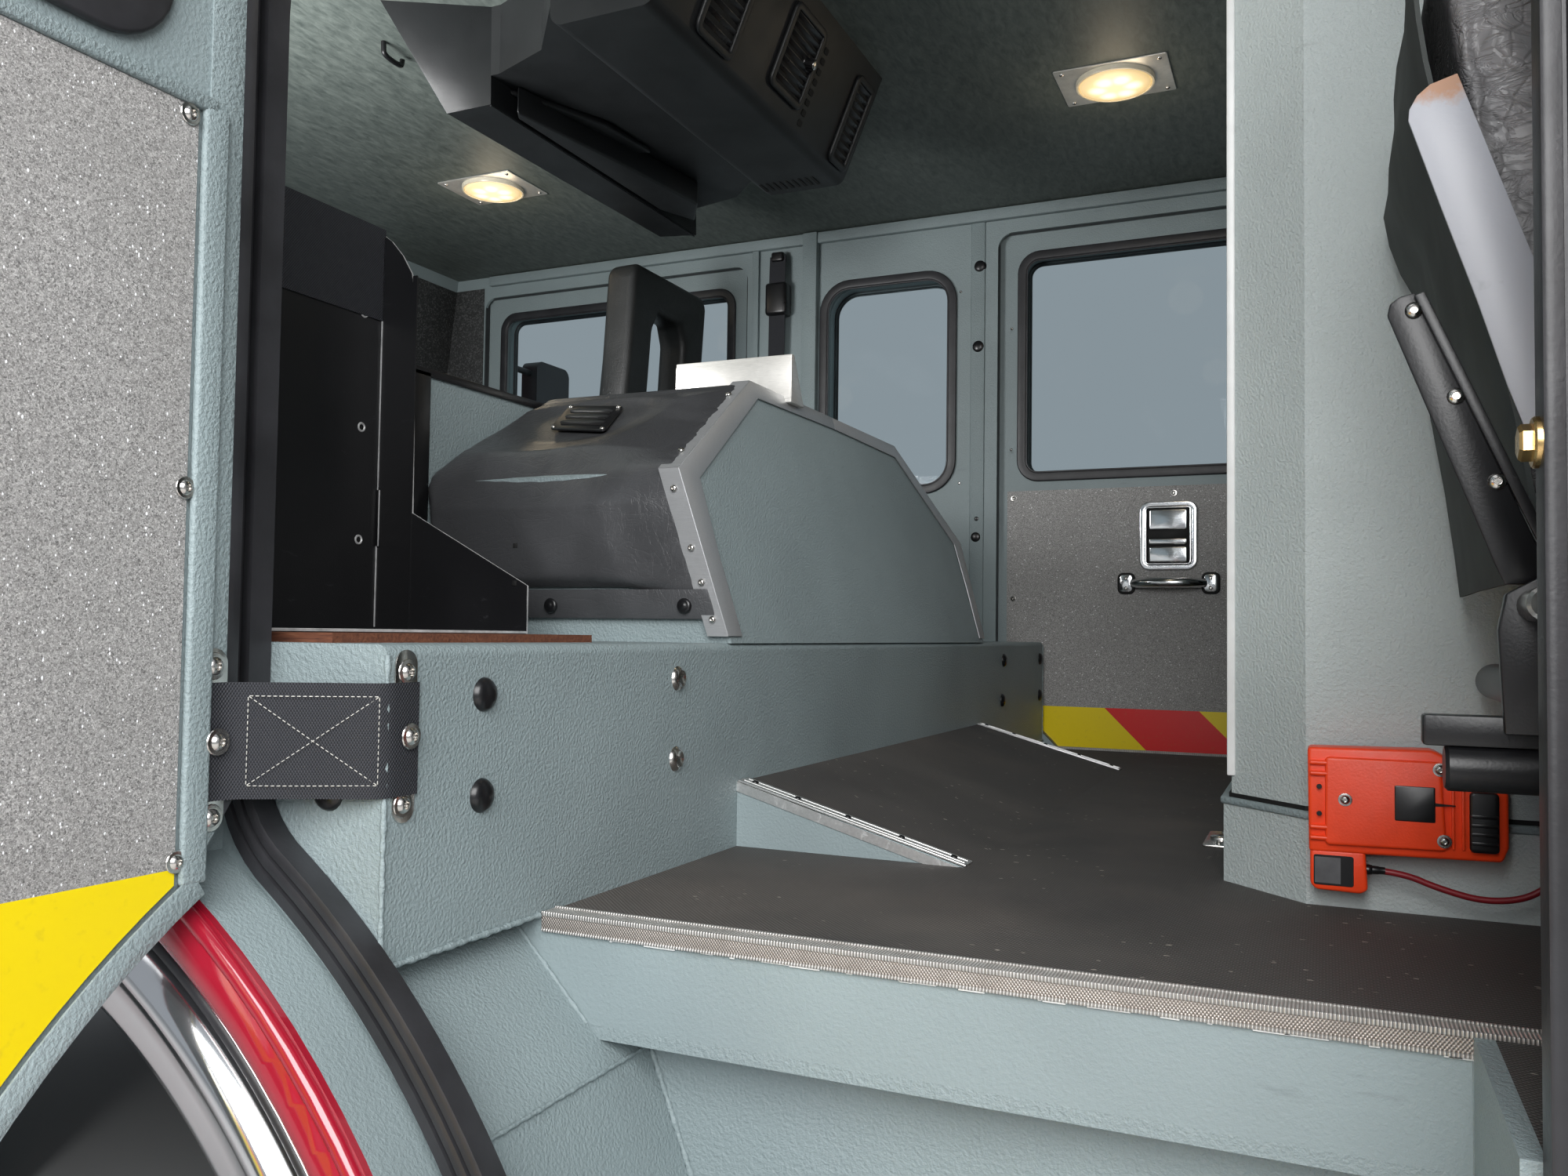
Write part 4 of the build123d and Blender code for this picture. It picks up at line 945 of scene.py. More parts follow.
# Black vinyl made lighter for the sheen on the tunnel covers: painted sheen.
sheen_painted_cover_vinyl = vinyl("sheen_painted_cover_vinyl", (0.050, 0.051, 0.054), 0.33)
sheen_painted_vinyl = creased_vinyl("sheen_painted_vinyl")
olive_fabric = simple("olive_fabric", (0.036, 0.043, 0.040), 0.72, 700.0, 0.0004, clouds=(5.0, 0.3))
spatter = spatter_lining()
chip_white = simple("chip_white", (0.80, 0.81, 0.80), 0.45, clouds=(60.0, 0.15))
trim_pale = brushed("ramp_trim_metal", (0.78, 0.78, 0.77), 0.36, (6.0, 6.0, 6.0), 0.6)
sunlit_seat_steel = sunlit_worn_flange()
lens_rim = simple("lens_rim", (0.72, 0.66, 0.52), 0.25, clouds=(30.0, 0.1))
label_grey = simple("label_grey", (0.10, 0.10, 0.105), 0.35, clouds=(60.0, 0.2))
lead_jacket = lead_finish()
strap_web = webbing()
clear_glass = window_glass("clear_glass")
charger_orange = simple("charger_orange", (0.93, 0.062, 0.010), 0.38, 500.0, 0.0003, clouds=(30.0, 0.08))
brass = simple("brass_bolt", (0.62, 0.42, 0.18), 0.28, metal=1.0, clouds=(40.0, 0.3))
# Near-black for the grab handles' black bases, and painted shade in gaps, slots, holes, pockets and the
# plinth's shadow line.
black_and_gap_shade = simple("black_and_gap_shade", (0.003, 0.003, 0.003), 0.7)
thread = simple("thread", (0.55, 0.54, 0.50), 0.8)

paint(grey, "seat_riser", "wheel_houses", "steps", "engine_tunnel")
paint(painted("rear_paint", rear_skin), "rear_wall")
# The cabinet gets a paler copy of the coating: painted light.
paint(painted("lit_cabinet_coating", None, LIT_CABINET_PAINT), "rear_cabinet")
paint(painted("side_paint", wall_mask), "side_wall_left", "side_wall_right")
paint(painted("door_paint", outside_y), "door_rear_right", "door_front_left", "door_front_right")
paint(painted("open_door_paint", outside_open_door), "door_rear_left")
paint(painted("front_paint", front_skin), "front_wall")
paint(gloss_paint("roof_paint"), "roof")
paint(mat_on_coating("floor_mat", 2.0), "floor_pan")
paint(mat_on_coating("ramp_mat", 0.5545), "floor_ramp")
paint(lining, "headliner")
paint(moulded, "overhead_console", "dashboard", "steering_column", "steering_wheel", "mirror_left",
      "mirror_right")
paint(steel_black, "cooler_bracket", "cab_mounts")
paint(wood, "cooler_board")
paint(aluminium, "cabinet_door", "tunnel_box")
paint(nosing, "edge_trims")
paint(clear_glass, "fixed_glass", "door_glass_rear_left", "door_glass_rear_right", "door_glass_front_left",
      "door_glass_front_right")
paint(chrome, "fender_rings", "front_grille", "handrails", "head_lamps", "door_handles_rear_left",
      "door_handles_rear_right", "door_handles_front_left", "door_handles_front_right")
paint(sheen_painted_cover_vinyl, "tunnel_covers")
paint(cushion_vinyl, "jump_seats", "front_seats", "seat_cushion_left", "seat_cushion_right")
paint(seal_rubber, "door_seals")
paint(charger_orange, "charger")
paint(strap_web, "door_strap")
paint(lead_jacket, "charger_lead")
DOME_X = (-2127, -614)
DOME_Y = (534, -534)
SPOT_RING = 34
lens_spots = [(x + SPOT_RING * cos(i * pi / 3), y + SPOT_RING * sin(i * pi / 3)) for x in DOME_X
              for y in DOME_Y for i in range(6)]
lamp_glow = lit_lens(lens_spots)
paint(lamp_glow, "dome_lights")
paint(simple("bar_lens", (0.55, 0.02, 0.02), 0.12, clouds=(9.0, 0.1)), "light_bar")
paint(fleck_panel("fleck_open_door", 1, HINGE.y * MM, 1.0, -0.29, 0.96), "door_panel_rear_left")
paint(fleck_panel("fleck_rear_door", 0, HINGE.x * MM, -1.0), "door_panel_rear_right")
paint(fleck_panel("fleck_front_door", 0, -0.092, -1.0), "door_panel_front_left", "door_panel_front_right")


# Door strap, with its stitching and its end screws

STRAP_LOW = 377.0
STRAP_HIGH = 463.0
STRAP_THICK = 2.6

# X and Y along the webbing, from the riser to the door
STRAP_ROUTE = [(-1861.0, 1117), (-1861.0, 1128), (-1861.0, 1142), (-1859.6, 1152), (-1853.5, 1158.6),
               (-1838, 1167.0), (-1820, 1176.0), (-1800, 1187.4), (-1784, 1197.5), (-1772.5, 1204.5),
               (-1766.0, 1211.5), (-1764.2, 1219), (-1764.0, 1233), (-1764.0, 1244.0)]
STITCH_PITCH = 4.2


def bend_strap(piece):
    """Bakes a piece of the strap's placement into its mesh."""
    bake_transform(piece)


def make_strap():
    """Webbing, its boxed cross of stitches, and the screws and plates at both ends."""
    route = [(x, y, STRAP_LOW) for x, y in STRAP_ROUTE]
    band = ribbon(route, (0, 0, STRAP_HIGH - STRAP_LOW), STRAP_THICK, 5)
    bend_strap(finished("door_strap_webbing", band, strap_web, None, ["door_strap"], smooth=60.0))

    stitches = bmesh.new()
    along = Vector((0.860, 0.510, 0.0))
    out = Vector((-0.510, 0.860, 0.0))
    centre = Vector((-1816.0, 1178.6, 420.0))
    half_u, half_z = 47.0, 33.0
    corners = [(-half_u, -half_z), (half_u, -half_z), (half_u, half_z), (-half_u, half_z)]
    sides = list(zip(corners, corners[1:] + corners[:1]))
    lines = sides + [(corners[0], corners[2]), (corners[1], corners[3])]
    for (u0, w0), (u1, w1) in lines:
        length = sqrt((u1 - u0) ** 2 + (w1 - w0) ** 2)
        count = int(length / STITCH_PITCH)
        direction = (along * (u1 - u0) + Vector((0, 0, w1 - w0))) / length
        for i in range(count):
            middle = centre + along * u0 + Vector((0, 0, w0)) + direction * ((i + 0.5) * length / count)
            bow = 1.6 * (1 - ((middle - centre).dot(along) / 52.0) ** 2)
            start = middle + out * (1.0 + bow) - direction * 1.5
            stitch = [(0, 0), (0.34, 0.3), (0.4, 1.5), (0.34, 2.7), (0, 3.0)]
            join(stitches, turned(stitch, start, direction, 6))
    bend_strap(finished("door_strap_stitching", stitches, thread, None, smooth=80.0))

    fixed = bmesh.new()
    for x, y, z in ((-1859.4, 1129, 471), (-1863.6, 1128, 422), (-1859.4, 1131, 370)):
        join(fixed, screw((x, y, z), (-1, 0, 0), 6.8))
    finished("strap_screws_riser", fixed, screw_steel)
    swinging = bmesh.new()
    for x, y, z in ((-1763.0, 1223, 475), (-1767.0, 1221, 420), (-1763.0, 1222, 365)):
        join(swinging, screw((x, y, z), (-1, 0, 0), 6.8))
    hinge_edge = [(1259, 869), (1253, 602), (1251, 338)]
    top_edge = [(y, 869) for y in (1500, 1760, 2010)]
    free_edge = [(2066, z) for z in (869, 602, 338, 60)]
    for y, z in hinge_edge + top_edge + free_edge:
        join(swinging, screw((PANEL - 0.2, y, z), (-1, 0, 0), 5.4))
    finished("door_screws_rear_left", swinging, screw_steel, OPEN_DOOR)
    ends = (("riser", RISER - 0.1, 1118, 1142, "root"), ("door", -1761.6, 1211, 1238, OPEN_DOOR))
    for word, x, y0, y1, body in ends:
        plate = slab(rectangle("x", x, y0, y1, 356, 488), (-1.4, 0, 0), 0.4, 2, 11.5)
        finished(f"strap_end_plate_{word}", plate, screw_steel, body)


def make_open_door_edge():
    """Covers, rolled rib and rubber down the open door's hinge edge."""
    skirt = [(1211, 362), (1211, 1590), (1240, 1590), (1240, 321)]
    edge = slab(on_plane("x", -1759.8, skirt), (-1.8, 0, 0), 0.5)
    join(edge, block((-1766.5, 1226, 320), (-1760, 1247.5, 882), 2.8, 3))
    join(edge, block((-1766.5, 1236, 876.5), (-1760, 2070, 888), 2.4, 3))
    turns = [radians(57.3 - 50.3 * i / 20) for i in range(21)]
    open_axle_y = HINGE.y + HINGE.x - AXLE.x
    arcs = [[(open_axle_y + r * cos(t), AXLE.z + r * sin(t)) for t in turns] for r in (660.5, 679.0)]
    join(edge, slab(on_plane("x", -1763.8, arcs[0] + arcs[1][::-1]), (-2.0, 0, 0), 0.7))
    finished("open_door_edge_cover", edge, grey, OPEN_DOOR)
    strip = [(1200.3, 378), (1200.3, 1590), (1211, 1590), (1211, 362)]
    rubber = slab(on_plane("x", -1759.9, strip), (-1.2, 0, 0), 0.3)
    finished("open_door_edge_rubber", rubber, seal_rubber, OPEN_DOOR)


make_strap()
make_open_door_edge()


# Rubber seals round the doorways, and the window gaskets

ARCH_OPEN = 700.0
DOORWAYS = {"rear": (-2599.0, -1738.0), "front": (-1022.0, -108.0)}
OPEN_LOW = FLOOR - 420.0
OPEN_TOP = FLOOR + 1290.0
JAMB_ROUND = 40.0
JUNCTION_RUN = 72.0
SEAL_GROW = 31.5
SEAL_Y = 1166.4


def doorway_outline(jambs, grow, y):
    """The doorway's outline grown outwards: jambs, round top corners and the cut round the wheel arch."""
    x0, x1 = jambs[0] - grow, jambs[1] + grow
    low, top, r = OPEN_LOW - grow, OPEN_TOP + grow, ARCH_OPEN - grow
    arch_rear = x1 < AXLE.x
    side_x = x1 if arch_rear else x0
    high_turn = atan2(sqrt(r * r - (side_x - AXLE.x) ** 2), side_x - AXLE.x)
    low_turn = atan2(low - AXLE.z, -sqrt(r * r - (low - AXLE.z) ** 2) if arch_rear else
                     sqrt(r * r - (low - AXLE.z) ** 2))
    turns = [high_turn + (low_turn - high_turn) * i / 28 for i in range(29)]
    arch = [(AXLE.x + r * cos(t), AXLE.z + r * sin(t)) for t in turns]
    steps = [i * pi / 12 for i in range(7)]
    near_x, far_x = (x1, x0) if arch_rear else (x0, x1)
    sign = 1 if arch_rear else -1
    corner = [(near_x - sign * JAMB_ROUND * (1 - cos(t)), top - JAMB_ROUND * (1 - sin(t))) for t in steps]
    other = [(far_x + sign * JAMB_ROUND * (1 - sin(t)), top - JAMB_ROUND * (1 - cos(t))) for t in steps]
    ease, junction, jamb_point = arch[3], arch[0], (near_x, arch[0][1] + JUNCTION_RUN)
    fillet = []
    for share in (i / 8 for i in range(1, 9)):
        weights = ((1 - share) ** 2, 2 * share * (1 - share), share ** 2)
        fillet.append(tuple(sum(w * p[axis] for w, p in zip(weights, (ease, junction, jamb_point)))
                            for axis in (0, 1)))
    outline = arch[:2:-1] + fillet + corner + other + [(far_x, low)]
    return [(x, y, z) for x, z in outline]


# Width and rise of each step across the seal, from its outer edge
SEAL_RIBS = [(0.3, 4.2), (9.0, 0.5), (0.8, -3.6), (2.0, 0.0), (0.8, 3.6), (2.5, 0.6), (3.0, 0.0),
             (2.5, -0.6), (0.8, -3.2), (1.8, 0.0), (0.7, 3.2), (4.0, 0.8), (3.0, 0.0), (2.0, -0.8),
             (0.6, -4.2), (0.2, -16.0)]
for place, jambs in DOORWAYS.items():
    ribs = ribbed_ring(doorway_outline(jambs, SEAL_GROW, SEAL_Y), SEAL_RIBS, (0, 1, 0))
    other_side = flipped(ribs)
    seal = finished(f"doorway_seal_{place}_left", ribs, seal_rubber, smooth=25.0,
                    replaces=["door_seals"] if place == "rear" else ())
    if place == "rear":
        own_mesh(seal)
    finished(f"doorway_seal_{place}_right", other_side, seal_rubber, smooth=25.0)


def gasket(x0, x1, z0, z1, r, y, out, body="root", name="gasket", turn=None):
    """A black window gasket with a bright inner line, on a wall facing along Y."""
    ring = frame_ring(rectangle("y", y, x0 - 15, x1 + 15, z0 - 15, z1 + 15), r + 15, 23, (0, out * 8, 0), 3.2)
    inner = rectangle("y", y + out * 2, x0 + 7, x1 - 7, z0 + 7, z1 - 7)
    join(ring, frame_ring(inner, max(r - 7, 6), 4, (0, out * 4, 0), 1.2))
    if turn:
        moved(ring, turn)
    finished(name, ring, seal_rubber, body)


def to_open_door():
    """Turns a shut left rear door's piece to where the open door stands."""
    return Matrix.Translation(HINGE) @ Matrix.Rotation(-pi / 2, 4, "Z") @ Matrix.Translation(-HINGE)


# Side window: X and Z from low to high
WINDOW = (-1616.0, -1260.0, FLOOR + 640.0, FLOOR + 1200.0)
for side, word in SIDES:
    gasket(*WINDOW, 70.0, side * (INNER + 0.5), -side, name=f"side_window_gasket_in_{word}")
    gasket(*WINDOW, 70.0, side * (SKIN - 0.5), side, name=f"side_window_gasket_out_{word}")
for place, jambs in DOORWAYS.items():
    for side, word in SIDES:
        turn = to_open_door() if (place, word) == ("rear", "left") else None
        sash = (jambs[0] + 62, jambs[1] - 62, FLOOR + 664, FLOOR + 1226)
        body = f"door_{place}_{word}_body"
        gasket(*sash, 40.0, side * 1174.5, -side, body, f"door_gasket_in_{place}_{word}", turn)
        gasket(*sash, 40.0, side * (SKIN - 0.5), side, body, f"door_gasket_out_{place}_{word}", turn)


# Wheel arch: rolled bright ring, rubber bead, and the red lip's rolled edge

def make_arches():
    """Fender rings and rubber beads, as sections of radius and Y turned round the axle."""
    centre = Vector((AXLE.x, 0.0, AXLE.z))
    first, last = radians(-9.3), radians(189.3)
    bright = [(594, 1194), (594, 1207), (590, 1216), (583, 1224), (574, 1227.5), (565, 1225), (559, 1218),
              (556, 1213.5), (540, 1211.5), (524, 1209.5), (518, 1208), (515, 1204), (515, 1200), (520, 1198),
              (556, 1202), (560, 1203), (574, 1206), (584, 1200), (587, 1194)]
    rubber_bead = [(594.5, 1190), (594.5, 1209), (596, 1214), (599, 1217), (602.5, 1217.6), (605.5, 1216),
                   (608, 1210), (608, 1190)]
    for side, word in SIDES:
        ring = on_side(arc_band(bright, centre, first, last, 96), side)
        bead_ring = on_side(arc_band(rubber_bead, centre, first, last, 96), side)
        replaced = ["fender_rings"] if side > 0 else ()
        finished(f"fender_bright_{word}", ring, chrome, replaces=replaced, smooth=50.0)
        finished(f"fender_rubber_{word}", bead_ring, seal_rubber, smooth=50.0)


make_arches()


# Screws and plugs on the seat riser and the far wall

def make_fixings():
    """Plugs and screws on the riser at Y and Z, and on the far wall at X and Z with radius and height."""
    plugs = bmesh.new()
    for y, z in ((1035, 450), (1036, 366), (-749, 453), (-737, 366), (-1115, 451), (-1112, 362)):
        join(plugs, plug((RISER, y, z), (-1, 0, 0), 14.5, 7.5))
    join(plugs, plug((-1804, INNER, 378), (0, 1, 0), 14.5, 7.0))
    for x, z, r, h in ((-1691, 1461, 17, 8), (-1688, 1252, 17, 8), (-1687, 806, 9, 5), (-1685, 759, 15, 7)):
        join(plugs, plug((x, -INNER, z), (0, 1, 0), r, h))
    finished("hole_plugs", plugs, plug_plastic, smooth=60.0)
    screws = bmesh.new()
    dished = [(0, 2.4), (4, 2.2), (7, 4.0), (9, 5.0), (11, 4.0), (13, 1.6), (14, 0), (0, 0)]
    for y, z in ((704, 454), (706, 367)):
        join(screws, turned(dished, (RISER, y, z), (-1, 0, 0), 28))
    for x, z in ((-1640, 1400), (-1640, 900), (-1775, 1290), (-1775, 980), (-1650, 640)):
        join(screws, screw((x, -INNER, z), (0, 1, 0), 3.6, False))
    finished("wall_screws", screws, screw_steel)


make_fixings()


# Engine tunnel: edge trims, padded covers, vent, box

LEAN = 0.296
LEAN_FOOT = 492.0
LEAN_OUT = Vector((-1.0, 0.0, LEAN)).normalized()
SHOULDER_OUT = Vector((0.0, 0.482, 0.876))


def lean_x(z):
    """X of the tunnel's leaning rear face."""
    return RISER + LEAN * (z - LEAN_FOOT)


def make_tunnel_trim():
    """Folded metal trim round the rear face: a band on the face, and flanges over the sides and top."""
    trim = bmesh.new()
    fold = [(586, 500), (597, 600), (607, 700), (316, 866), (0, 866)]
    inner = [(0, 846), (303, 842), (556, 694), (556, 600), (548, 500)]
    lean = [(lean_x(z) - 1.0, y, z) for y, z in fold + inner]
    join(trim, slab(lean, LEAN_OUT * 2.2, 0.7, 2))
    lower = [(lean_x(z) - 2.0, y, z) for y, z in ((586, 500), (597, 600), (607, 700))]
    join(trim, ribbon(lower, (27, 0, 0), 2.2))
    upper = [(lean_x(z) - 2.0, y, z) for y, z in ((607, 701), (316, 867))]
    join(trim, ribbon(upper, (27, 0, 0), 2.2))
    top = [(lean_x(867) - 2.0, y, 867) for y in (316, 0)]
    join(trim, ribbon(top, (15, 0, 0), 2.2))
    right = flipped(trim)
    join(trim, right)
    finished("tunnel_edge_trim", trim, trim_metal, smooth=30.0)
    screws = bmesh.new()
    for z in (520, 564, 605, 676):
        y = 586 + 21 * (z - 500) / 200 + 1.2
        for side, _ in SIDES:
            join(screws, screw((lean_x(z) + 11, side * y, z), (0, side, 0), 4.4, False))
    for y, z in ((560, 728), (372, 835)):
        for side, _ in SIDES:
            normal = (0, side * SHOULDER_OUT.y, SHOULDER_OUT.z)
            join(screws, screw((lean_x(z) + 12, side * y, z + 1.2), normal, 4.4, False))
    finished("tunnel_trim_screws", screws, screw_steel)


VENT_MIDDLE = Vector((-1556.0, 432.0, 789.0))


def near_fixing(point):
    """How far a cover's point is held: fully near the rear trim, the top edge and the vent."""
    return max(fading(point.x - lean_x(point.z), 14, 120), fading(point.z, 850, 810),
               fading((point - VENT_MIDDLE).length, 85, 150))


def make_tunnel_covers():
    """Padded covers over the tunnel's shoulders, with a hem and snaps along their foot."""
    outer = [(590, 546), (596, 600), (605, 688), (600, 704), (592, 712), (330, 860), (314, 862)]
    inner = [(314, 846), (586, 690), (578, 546)]
    pad = slab([(RISER, y, z) for y, z in outer + inner], (446, 0, 0))
    cut_off(pad, (lean_x(LEAN_FOOT) + 8, 0, LEAN_FOOT), LEAN_OUT)
    bmesh.ops.recalc_face_normals(pad, faces=pad.faces)
    left = stuffed("tunnel_cover_left", pad, sheen_painted_cover_vinyl, "root", ["tunnel_covers"],
                   voxel=7.0, cap=13.0, held=near_fixing)
    twin(left, "tunnel_cover_right", "root")
    hem = bmesh.new()
    snaps = bmesh.new()
    hem_face = [(lean_x(520) + 6, 583, 520), (-1414, 583, 520), (-1414, 592, 556),
                (lean_x(556) + 6, 592, 556)]
    snap = [(0, 5.2), (3, 5.0), (4.6, 3.6), (6.2, 3.8), (8.2, 3.2), (9.4, 1.6), (9.8, 0), (0, 0)]
    for side, _ in SIDES:
        join(hem, on_side(slab(hem_face, (0, 4.5, 0), 1.4, 2), side))
        for x in (-1802, -1610, -1470):
            join(snaps, turned(snap, (x, side * 592.0, 536), (0, side, 0), 24))
    finished("tunnel_cover_hem", hem, sheen_painted_cover_vinyl)
    finished("tunnel_cover_snaps", snaps, plug_plastic, smooth=60.0)


def make_tunnel_vent():
    """Plate with three hooded slots on the left cover's shoulder."""
    vent = bmesh.new()
    plate = ((-1519, 468, 769), (-1488, 375, 820), (-1595, 396, 809), (-1624, 490, 757))
    corners = [Vector(p) for p in plate]
    lift = SHOULDER_OUT * 15
    join(vent, slab([c + lift for c in corners], SHOULDER_OUT * 3.0, 1.0, 2, 10.0))
    down = (corners[0] - corners[1]).normalized()
    across = (corners[2] - corners[1]).normalized()
    start = corners[1] + lift + SHOULDER_OUT * 2.5
    hood_profile = [(0, 0), (4.0, 1.5), (6.5, 8), (7.5, 20), (7.5, 66), (6.5, 78), (4.0, 84.5), (0, 86)]
    for row in range(3):
        place = start + down * (24 + 27 * row) + across * 12
        hood = turned(hood_profile, (0, 0, 0), across, 16)
        moved(hood, Matrix.Translation(place) @ Matrix.Scale(0.55, 4, SHOULDER_OUT))
        join(vent, hood)
    finished("tunnel_vent", vent, steel_black)
    # Near-black strips under the hoods: painted shade in the slots.
    slots = bmesh.new()
    for row in range(3):
        place = start + down * (33 + 27 * row) + across * 16
        strip = [place, place + across * 78, place + across * 78 + down * 5, place + down * 5]
        join(slots, slab(strip, SHOULDER_OUT * 1.4, 0.4))
    finished("tunnel_vent_slots", slots, black_and_gap_shade)
    screws = bmesh.new()
    for p in ((-1522, 462, 772), (-1496, 382, 816), (-1590, 402, 806), (-1616, 483, 761)):
        join(screws, screw(Vector(p) + SHOULDER_OUT * 18, SHOULDER_OUT, 3.6, False))
    finished("tunnel_vent_screws", screws, screw_steel)


def make_tunnel_box():
    """Bright wedge-shaped box on the tunnel's top."""
    wedge = [(199, 856), (199, 930), (188, 930), (149, 856)]
    lid = slab(on_plane("x", -1763, wedge), (201, 0, 0), 1.6, 2)
    join(lid, block((-1762.0, 198.2, 862), (-1562.0, 200.0, 924), 0.6))
    finished("tunnel_top_box", lid, box_metal, replaces=["tunnel_box"])


make_tunnel_trim()
make_tunnel_covers()
make_tunnel_vent()
make_tunnel_box()


# Cooler cradle

def make_cradle():
    """Black sheet steel cradle with painted highlights on its cut edges, hole burrs and corner, its strap,
    and the tunnel's edge beside it.
    """
    steel = bmesh.new()
    z = FLOOR + 250.0
    side = [(-1655, z), (-1424, z), (-1424, z + 498), (-1438, z + 488), (-1456, z + 468), (-1471, z + 444),
            (-1477, z + 420), (-1481, z + 146), (-1655, z + 56)]
    # The plates' cut edges take the second finish: painted highlight.
    join(steel, slab(on_plane("y", 700, side), (0, 3.2, 0), 0.5, 1, edge_material=1))
    join(steel, slab(rectangle("x", -1425.5, 700, 1114, z, z + 500), (3.2, 0, 0), 0.5, 1, edge_material=1))
    join(steel, slab(rectangle("z", z + 0.2, -1655, -1424, 702, 1114), (0, 0, 3.2), 0.5, 1, edge_material=1))
    join(steel, ribbon([(-1481, 704.5, z + 3), (-1481, 704.5, z + 440)], (6.5, 0, 0), 2.0))
    for y in (734, 1078):
        for hole_z in (891, 750, 612):
            place = (-1426.0, y, hole_z)
            # Pale burr ring round each hole: painted highlight.
            burr = turned([(3.4, 0.3), (4.6, 1.4), (5.6, 1.2), (6.2, 0.0)], place, (-1, 0, 0), 20)
            join(steel, burr, material=1)
            # Near-black disk in each hole: painted shade.
            join(steel, turned([(0, 0.5), (3.4, 0.5), (3.4, 0)], place, (-1, 0, 0), 16), material=2)
    # Near-black slots: painted shade.
    for slot_z in (596, 640):
        join(steel, block((-1640, 703.0, slot_z - 40), (-1634, 704.2, slot_z - 34), 0.3), material=2)
    # Pale lines down the corner: painted highlight.
    for z0, z1, x in ((506, 606, -1426.6), (606, 676, -1429.5), (676, 996, -1426.6)):
        join(steel, block((x - 0.9, 703.2, z0), (x + 0.9, 704.8, z1), 0.5), material=1)
    join(steel, block((-1431.0, 703.0, 604), (-1425.5, 704.2, 680), 0.8))
    finished("cooler_cradle", steel, [steel_black, painted_edge_highlight, black_and_gap_shade],
             replaces=["cooler_bracket"])
    strap = ribbon([(-1427.5, y, 888) for y in (702, 760, 830, 900, 1000, 1112)], (0, 0, 116), 2.2, 6)
    finished("cooler_strap", strap, strap_web, smooth=60.0)
    edge = bmesh.new()
    join(edge, ribbon([(-1412.5, y, 843.5) for y in (627, 612, 597)], (0, 0, 3), 2.0))
    join(edge, slab(rectangle("x", -1411.5, 597, 629, 496, 846), (-2.5, 0, 0), 0.8))
    join(edge, slab(rectangle("x", -1411.5, 300, 630, 840, 851), (-2.5, 0, 0), 0.8))
    finished("tunnel_box_edge", edge, steel_black)


make_cradle()


# Ceiling lights and the overhead unit's fittings

def make_dome_lights():
    """Four ceiling lights: plate, corner screws, rim and lens."""
    plates, screws, lenses, rims = bmesh.new(), bmesh.new(), bmesh.new(), bmesh.new()
    face = CEILING - 3.0
    rim = [(76, 0), (76, 6), (74.5, 8.5), (71, 9), (70, 7), (70, 0)]
    lens = [(0, 15), (30, 14.6), (52, 13), (64, 10.5), (69, 7), (70, 2), (70, 0), (0, 0)]
    for x in DOME_X:
        for y in DOME_Y:
            plate = rectangle("z", CEILING, x - 107, x + 107, y - 82, y + 82)
            join(plates, slab(plate, (0, 0, -3.0), 0.8, 2, 4.0))
            for dx in (-92, 92):
                for dy in (-67, 67):
                    join(screws, screw((x + dx, y + dy, face), (0, 0, -1), 4.6, False))
            join(rims, turned(rim, (x, y, face), (0, 0, -1), 48))
            join(lenses, turned(lens, (x, y, face), (0, 0, -1), 48))
    finished("dome_light_plates", plates, box_metal, replaces=["dome_lights"])
    finished("dome_light_screws", screws, screw_steel)
    finished("dome_light_rims", rims, lens_rim, smooth=50.0)
    finished("dome_light_lenses", lenses, lamp_glow, smooth=60.0)


UNIT_FOOT = Vector((-1622.0, 0.0, 1405.0))
UNIT_SLOPE = Vector((-83.0, 0.0, 201.0)).normalized()
UNIT_OUT = Vector((-201.0, 0.0, -83.0)).normalized()


def on_unit(y, up, out=0.0):
    """A point on the air unit's sloping rear face."""
    place = UNIT_FOOT + UNIT_SLOPE * up + UNIT_OUT * out
    return Vector((place.x, y, place.z))


def unit_patch(y0, y1, up0, up1, lift):
    """Corners of a rectangle on the unit's face."""
    return [on_unit(y, up, lift) for y, up in ((y0, up0), (y1, up0), (y1, up1), (y0, up1))]


